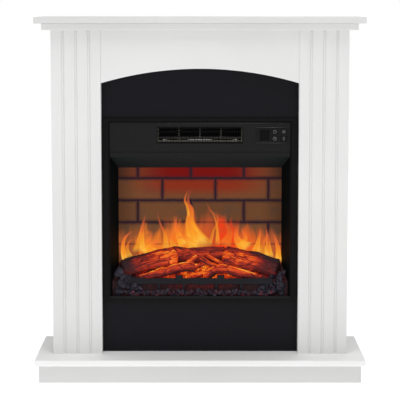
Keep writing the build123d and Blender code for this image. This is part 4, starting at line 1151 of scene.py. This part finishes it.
@dataclass
class FireBed:
    """Logs, embers, coal and grate, each in the room that its CAD solid holds."""

    glow: Finish = field(default_factory=lambda: GlowingResin("glowing_resin"))
    log_rise: float = 0.060        # the big logs' middles, over the case's floor
    rear_gap: float = 0.028        # from the bed's back to the rear log
    ember_rise: float = 0.038      # the embers' front edge, over the case's floor
    ember_slope: float = 0.036     # how much higher their back edge is
    end_coals: int = 72            # coals in each end's heap
    strip_coals: int = 110         # coals in the strip along the front

    def logs(self) -> None:
        """The big logs, the branches on them, and split sticks between."""
        bed_low, bed_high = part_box("ember_bed")
        floor = bed_low.z
        front, back = bed_low.y, bed_high.y
        base = floor + self.log_rise
        rear = back - self.rear_gap
        plan = [
            (Log("log_left_bark", [(-0.196, front + 0.034, base), (-0.15, front + 0.040, base + 0.014),
                                   (-0.10, rear - 0.012, base + 0.026), (-0.056, rear - 0.008, base + 0.034)],
                 (0.024, 0.027), 3, 0.88, 0.12, 0.0, 17), ("log_left",)),
            (Log("log_right_bark", [(0.196, front + 0.034, base), (0.15, front + 0.040, base + 0.014),
                                    (0.10, rear - 0.010, base + 0.024), (0.056, rear - 0.008, base + 0.034)],
                 (0.024, 0.027), 8, 0.88, 0.12, 0.0, 17), ("log_right",)),
            (Log("log_rear_bark", [(-0.072, rear + 0.004, base + 0.036), (-0.02, rear + 0.006, base + 0.034),
                                   (0.068, rear + 0.004, base + 0.037)],
                 (0.021, 0.019), 12, 0.6, 0.10, 0.0, 13), ("log_rear",)),
            (Log("branch_left_bark", [(-0.152, front + 0.010, base - 0.016),
                                      (-0.10, front + 0.008, base - 0.003),
                                      (-0.055, front + 0.014, base + 0.010), (-0.012, front + 0.020,
                                                                              base + 0.012)],
                 (0.008, 0.013), 17, 0.7, 0.16, 0.85, 11), ("log_front_left",)),
            (Log("branch_right_bark", [(0.150, front + 0.010, base - 0.018),
                                       (0.10, front + 0.009, base - 0.002),
                                       (0.05, front + 0.014, base + 0.008), (0.010, front + 0.012,
                                                                             base - 0.012)],
                 (0.010, 0.013), 23, 0.7, 0.16, 0.85, 11), ("log_front_right",)),
        ]
        for log, stands_for in plan:
            log.skin().piece(log.name, self.glow, "fireplace", Slot.LOG, stands_for)
        sticks = [
            ((0.014, rear - 0.020, base + 0.040), (0.060, rear - 0.032, base + 0.016), 0.0055, 31),
            ((0.000, rear - 0.026, base + 0.033), (0.046, rear - 0.038, base + 0.008), 0.0055, 33),
            ((-0.046, rear - 0.026, base + 0.010), (-0.006, rear - 0.022, base + 0.036), 0.0065, 35),
            ((-0.034, front + 0.024, base - 0.002), (0.018, front + 0.030, base + 0.024), 0.006, 37),
            ((-0.024, front + 0.014, base - 0.012), (0.046, front + 0.018, base + 0.004), 0.0065, 39),
            ((-0.125, front + 0.016, base - 0.008), (-0.055, front + 0.026, base + 0.018), 0.0075, 41),
            ((0.125, front + 0.018, base - 0.006), (0.060, front + 0.026, base + 0.016), 0.0075, 43),
        ]
        skins = [Log("", [start, end], (radius, radius * 0.9), seed, 0.78, 0.2, 0.6, 6, 30, 20).skin()
                 for start, end, radius, seed in sticks]
        Skin.together(skins).piece("split_sticks", self.glow, "fireplace", Slot.LOG)

    def embers(self) -> None:
        """The ember bed: a lumpy sheet from the grate up to the screen, with a skirt to the case's floor.

        Height = straight rise from front to back + pebbles, which are the absolute value of a fine ripple.
        """
        low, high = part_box("ember_bed")
        rows, cols = 60, 220
        back_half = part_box("flame_screen")[1].x - 0.006
        t, u = np.meshgrid(np.linspace(0, 1, rows), np.linspace(-1, 1, cols), indexing="ij")
        depth = low.y + (high.y - low.y) * t
        half = high.x + (back_half - high.x) * t
        plan = np.stack([u * half, depth, depth * 0], -1)
        pebbles = 0.006 * np.abs(ripple(plan, 42, 51, 3)) - 0.002
        slope = low.z + self.ember_rise + self.ember_slope * t
        points = np.stack([plan[..., 0], plan[..., 1], slope + pebbles], -1)
        skirt = points[:1].copy()
        skirt[..., 2] = low.z + 0.001
        points = np.concatenate([skirt, points])
        plan = np.concatenate([plan[:1], plan])
        back = np.clip((plan[..., 1] - low.y) / (high.y - low.y) * 4 - 0.4, 0, 1)
        heat = np.clip(1.05 - np.abs(plan[..., 0]) / 0.24 + 0.3 * ripple(plan, 30, 53), 0,
                       1) * (0.75 + 0.25 * back)
        heat[0] *= 0.05
        heat[1] *= 0.5
        Skin.grid(points, warmth=heat, grain=points * 260).piece(
            "ember_surface", self.glow, "fireplace", Slot.EMBER, ("ember_bed",))

    def lump(self, middle: np.ndarray, size: float, seed: int, heat: float) -> Skin:
        """One coal: a long ball cut by flat faces, then turned; its proportions, cuts and turn are random.

        Args:
            middle: Its middle.
            size: Its radius before it is cut.
            seed: Which random coal.
            heat: Its warmth.

        Returns:
            The coal's surface.
        """
        rows, cols = 7, 9
        source = rng(seed)
        t, a = np.meshgrid(np.linspace(0.12, math.pi - 0.12, rows),
                           np.linspace(0, 2 * math.pi, cols, endpoint=False),
                           indexing="ij")
        ball = np.stack([np.sin(t) * np.cos(a), np.sin(t) * np.sin(a), -np.cos(t)], -1)
        ways = source.normal(size=(11, 3))
        ways /= np.linalg.norm(ways, axis=1, keepdims=True)
        reach = source.uniform(0.38, 0.9, 11)
        cut = (reach / np.clip(ball @ ways.T, 0.05, None)).min(-1)
        radius = np.minimum(1.0, cut) * source.uniform(0.86, 1.12, (rows, cols))
        turn = np.linalg.qr(source.normal(size=(3, 3)))[0]
        turn *= np.sign(np.linalg.det(turn))
        points = middle + (ball * radius[..., None] * size * source.uniform((0.7, 0.7, 1.0),
                                                                            (1.1, 1.1, 1.7))) @ turn
        return Skin.grid(points, wrap=True, caps=True, warmth=np.full((rows, cols), heat))

    def coals(self) -> None:
        """Coal heaped at both ends, and a low strip of it along the front."""
        end_low, end_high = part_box("coal_ends")
        strip_low, strip_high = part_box("coal_strip")
        skins = []
        source = rng(77)
        inner = strip_high.x
        for side in (-1, 1):
            for i in range(self.end_coals):
                x = side * source.uniform(inner - 0.038, end_high.x - 0.008)
                share = (abs(x) - inner + 0.038) / (end_high.x - inner + 0.038)
                top = end_low.z + 0.036 + 0.034 * share
                z = source.uniform(end_low.z + 0.008, top)
                y = source.uniform(end_low.y + 0.007, end_high.y + 0.006)
                if abs(x) < inner + 0.002:
                    y = source.uniform(end_high.y - 0.001, end_high.y + 0.010)
                skins.append(self.lump(np.array([x, y, z]), source.uniform(0.0065, 0.0115),
                                       1000 + i + side * 90, 0.0))
        for i in range(self.strip_coals):
            x = -inner + 2 * inner * (i + source.uniform(0.1, 0.9)) / self.strip_coals
            z = source.uniform(strip_low.z + 0.005, strip_high.z - 0.003)
            y = source.uniform(strip_low.y + 0.004, strip_high.y - 0.001)
            skins.append(self.lump(np.array([x, y, z]), source.uniform(0.0045, 0.0068), 400 + i,
                                   source.uniform(0.0, 1.0)))
        Skin.together(skins).piece("coal_lumps", Charcoal("charcoal"), "fireplace", Slot.COAL,
                                   ("coal_ends", "coal_strip"), smooth=False)

    def casting(self, start: tuple[float, float], end: tuple[float, float], half: float, y: float,
                seed: int) -> Skin:
        """A rough cast bar in an upright plane.

        Its section is a squared circle, cos and sin to the power 0.45, as deep as the grate; along it the
        section swells and shrinks by a coarse ripple and is pitted by a fine one.

        Args:
            start: X and Z of one end.
            end: X and Z of the other.
            half: Half its height as seen from the front.
            y: Depth of its middle.
            seed: Which ripples.

        Returns:
            The bar's surface.
        """
        length = math.dist(start, end)
        rows, cols = max(8, int(length / 0.003)), 20
        t = np.linspace(0, 1, rows)
        line = np.stack([start[0] + (end[0] - start[0]) * t, t * 0 + y, start[1] + (end[1] - start[1]) * t],
                        -1)
        low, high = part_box("grate")
        a = np.linspace(0, 2 * math.pi, cols, endpoint=False)
        c, d = np.cos(a), np.sin(a)
        squared = np.stack([np.sign(c) * np.abs(c) ** 0.45, np.sign(d) * np.abs(d) ** 0.45], -1)
        across = np.array([-(end[1] - start[1]), 0, end[0] - start[0]]) / length
        shape = (squared[:, :1] * across * half + squared[:, 1:] * np.array([0, (high.y - low.y) / 2, 0]))
        swell = 0.86 + 0.1 * ripple(line, 22, seed)[:, None, None]
        points = line[:, None] + shape * swell
        points = points + shape * 0.07 * ripple(points, 130, seed + 1, 2)[..., None]
        return Skin.grid(points, wrap=True, caps=True)

    def grate(self) -> None:
        """The cast grate: a long bar with two lugs, on six legs."""
        low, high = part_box("grate")
        y = (low.y + high.y) / 2
        lug = (high.z - low.z) * 0.11
        top, foot = high.z - lug, high.z - lug * 4.1
        middle, half = (top + foot) / 2, (top - foot) / 2
        spans = [((low.x + 0.002, middle), (high.x - 0.002, middle), half)]
        for side in (-1, 1):
            spans.append(((side * high.x * 0.28, middle), (side * high.x * 0.28, high.z), 0.010))
            spans += [((side * high.x * share, low.z), (side * high.x * share, middle), 0.0042)
                      for share in (0.22, 0.56, 0.9)]
        skins = [self.casting(a, b, h, y, 200 + i * 3) for i, (a, b, h) in enumerate(spans)]
        iron = PowderCoat("cast_iron", (0.0034, 0.0026, 0.0052), 0.5, 0.2, 700.0, 0.0003)
        Skin.together(skins).piece("cast_grate", iron, "fireplace", Slot.IRON, ("grate",))

    def build(self) -> None:
        """Everything in the fire bed."""
        self.embers()
        self.logs()
        self.coals()
        self.grate()


# ---------------------------------------------------------------- control marks
@dataclass
class KeyMarks:
    """Pale printed marks on the four keys."""

    stroke: float = 0.0007
    size: float = 0.0043
    lift: float = 0.00012

    def ring(self, radius: float, start: float, end: float, centre: tuple[float, float] = (0, 0)) -> Skin:
        """A flat arc of the stroke's width, in the key's own plane, from start to end in turns.

        Args:
            radius: To the middle of the stroke.
            start: Where it starts.
            end: Where it ends.
            centre: X and Z of its middle.

        Returns:
            The arc.
        """
        a = np.linspace(start, end, 33) * 2 * math.pi
        r = np.array([radius - self.stroke / 2, radius + self.stroke / 2])
        x = centre[0] + np.cos(a)[:, None] * r
        z = centre[1] + np.sin(a)[:, None] * r
        return Skin.grid(np.stack([x, x * 0, z], -1))

    def bar(self, x0: float, z0: float, x1: float, z1: float) -> Skin:
        """A flat straight stroke between two places.

        Args:
            x0: X of one end.
            z0: Z of that end.
            x1: X of the other end.
            z1: Z of the other end.

        Returns:
            The stroke.
        """
        run = np.array([x1 - x0, z1 - z0])
        square = np.array([-run[1], run[0]]) / np.linalg.norm(run) * self.stroke / 2
        ends = np.array([[x0, z0], [x1, z1]])
        p = np.stack([ends + square, ends - square], 1)
        return Skin.grid(np.stack([p[..., 0], p[..., 0] * 0, p[..., 1]], -1))

    def marks(self) -> dict[str, list[Skin]]:
        """What each key shows: power, a sun, a clock, a flame.

        Returns:
            The strokes of each key's mark, by the key's name.
        """
        s = self.size
        rays = [self.bar(math.cos(a) * s * 0.75, math.sin(a) * s * 0.75, math.cos(a) * s * 1.1,
                         math.sin(a) * s * 1.1)
                for a in np.arange(8) * math.pi / 4]
        return {
            "key_power": [self.ring(s * 0.85, 0.33, 1.17), self.bar(0, s * 0.2, 0, s * 1.15)],
            "key_heat": [self.ring(s * 0.45, 0, 1), *rays],
            "key_timer": [self.ring(s * 0.95, 0, 1), self.bar(0, 0, 0, s * 0.6), self.bar(0, 0, s * 0.45, 0)],
            "key_flame": [self.ring(s * 0.5, 0.45, 1.05, (0, -s * 0.35)),
                          self.bar(-s * 0.5, -s * 0.2, s * 0.1, s * 1.1), self.bar(s * 0.5, -s * 0.2,
                                                                                   s * 0.1, s * 1.1)],
        }

    def build(self) -> None:
        """Lay each mark on its key's face, riding with the key."""
        ink = PrintedMark("pale_ink")
        for key, strokes in self.marks().items():
            low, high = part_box(key)
            middle = np.array([(low.x + high.x) / 2, low.y - self.lift, (low.z + high.z) / 2])
            skin = Skin.together(strokes)
            skin.points = skin.points + middle
            skin.piece(key + "_mark", ink, key.removeprefix("key_") + "_key", Slot.CONTROL, smooth=False)


@dataclass
class FaceTrim:
    """Raised ribs over the outlet, and pale beads by the control panel that are painted highlights."""

    ribs: int = 32
    rib_rise: float = 0.009
    rib_lift: float = 0.0015
    bead: float = 0.0005

    def strip(self, start: tuple[float, float, float], end: tuple[float, float, float],
              radius: float) -> Skin:
        """A thin rounded bar between two places: a six-sided tube of that radius, closed at its ends.

        Args:
            start: One end.
            end: The other end.
            radius: Of the tube.

        Returns:
            The bar.
        """
        a, b = np.array(start), np.array(end)
        run = (b - a) / np.linalg.norm(b - a)
        side = np.cross(run, (0.0, 1.0, 0.0))
        up = np.cross(side, run)
        turn = np.arange(6) * math.pi / 3
        ring = (np.cos(turn)[:, None] * side + np.sin(turn)[:, None] * up) * radius
        return Skin.grid(np.stack([a + ring, b + ring]), wrap=True, caps=True)

    def build(self) -> None:
        """Ribs stand on the header over the outlet; beads run over most of the outlet and the controls.

        The beads are painted highlights: pale strips where edges catch the light.
        """
        low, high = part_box("outlet_grille")
        panel_low, panel_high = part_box("control_cover")
        rim = -low.x * 0.02
        ribs = [self.strip((x, low.y, high.z - rim + self.rib_lift),
                           (x, low.y, high.z - rim + self.rib_rise), 0.0006)
                for x in np.linspace(low.x + 3 * rim, high.x - 3 * rim, self.ribs)]
        coat = PowderCoat("trim_coat", (0.012, 0.012, 0.0125), 0.4, 0.3)
        Skin.together(ribs).piece("outlet_ribs", coat, "fireplace", Slot.FRAME)
        # Pale beads: painted highlights along the lit edge over the outlet and the control panel's top and
        # bottom.
        top = high.z + self.rib_rise * 0.7
        beads = [
            self.strip((low.x * 0.75, low.y, top), (panel_high.x, low.y, top), self.bead),
            self.strip((panel_low.x, panel_low.y, panel_high.z), (panel_high.x, panel_low.y, panel_high.z),
                       self.bead),
            self.strip((panel_low.x, panel_low.y, panel_low.z), (panel_high.x, panel_low.y, panel_low.z),
                       self.bead),
        ]
        pale = PowderCoat("painted_highlight_coat", (0.03, 0.03, 0.031), 0.35, 0.5)
        Skin.together(beads).piece("painted_highlight_beads", pale, "fireplace", Slot.FRAME)


# ---------------------------------------------------------------- studio
@dataclass
class Studio:
    """Floor, lights and camera."""

    stand_off: float = 3.968
    height: float = 0.909
    look_down: float = 6.184
    lens: float = 145.39
    shift: float = -0.05

    def light(self, name: str, place: tuple[float, float, float], aim: tuple[float, float, float],
              size: float,
              power: float) -> None:
        """A square soft light at place, facing aim.

        Args:
            name: The light's name.
            place: Where it stands.
            aim: Where it faces.
            size: Its side.
            power: Its power in watts.
        """
        data = bpy.data.lights.new(name, "AREA")
        data.size, data.energy = size, power
        lamp = bpy.data.objects.new(name, data)
        lamp.location = place
        lamp.rotation_euler = (Vector(aim) - Vector(place)).to_track_quat("-Z", "Y").to_euler()
        bpy.context.scene.collection.objects.link(lamp)

    def build(self) -> None:
        """Put up the studio."""
        scene = bpy.context.scene
        scene.view_settings.view_transform = "Standard"
        world = bpy.data.worlds.new("studio")
        world.use_nodes = True
        scene.world = world
        tree = Tree(world.node_tree)
        sky = next(n for n in world.node_tree.nodes if n.type == "BACKGROUND")
        seen = tree.node("ShaderNodeLightPath").outputs["Is Camera Ray"]
        tree.feed(sky.inputs["Color"], (1.0, 1.0, 1.0))
        tree.feed(sky.inputs["Strength"], Val(tree, seen) * 0.56 + 0.44)
        u, v = np.meshgrid(np.linspace(-9, 9, 13), np.linspace(-9, 9, 13), indexing="ij")
        mesh = bpy.data.meshes.new("floor")
        plane = Skin.grid(np.stack([v, -u, u * 0 - 0.0006], -1))
        mesh.from_pydata(plane.points.tolist(), [], plane.faces)
        mesh.materials.append(PaleFloor("pale_floor").material())
        floor = bpy.data.objects.new("floor", mesh)
        scene.collection.objects.link(floor)
        self.light("key", (-1.3, -3.6, 2.1), (0, 0, 0.45), 2.2, 9.5)
        self.light("fill", (1.5, -3.5, 1.6), (0, 0, 0.45), 2.2, 7)
        self.light("front", (0, -4.9, 0.9), (0, 0, 0.45), 2.6, 8.5)
        self.light("top", (0, -1.0, 2.9), (0, -0.1, 0.1), 1.8, 36)
        self.light("rear", (1.2, 3.6, 2.2), (0, 0, 0.45), 2.2, 18)
        camera_data = bpy.data.cameras.new("camera")
        camera_data.lens = self.lens
        camera_data.shift_y = self.shift
        camera = bpy.data.objects.new("camera", camera_data)
        camera.location = (0, -self.stand_off, self.height)
        camera.rotation_euler = (math.radians(90 - self.look_down), 0, 0)
        scene.collection.objects.link(camera)
        scene.camera = camera


def main() -> None:
    """Build everything in order."""
    logging.basicConfig(level=logging.INFO, format="%(name)s: %(message)s")
    Studio().build()
    Surround().dress()
    Insert().dress()
    screen = Screen()
    screen.dress()
    screen.flames()
    FireBed().build()
    KeyMarks().build()
    FaceTrim().build()


if __name__ == "__main__":
    main()
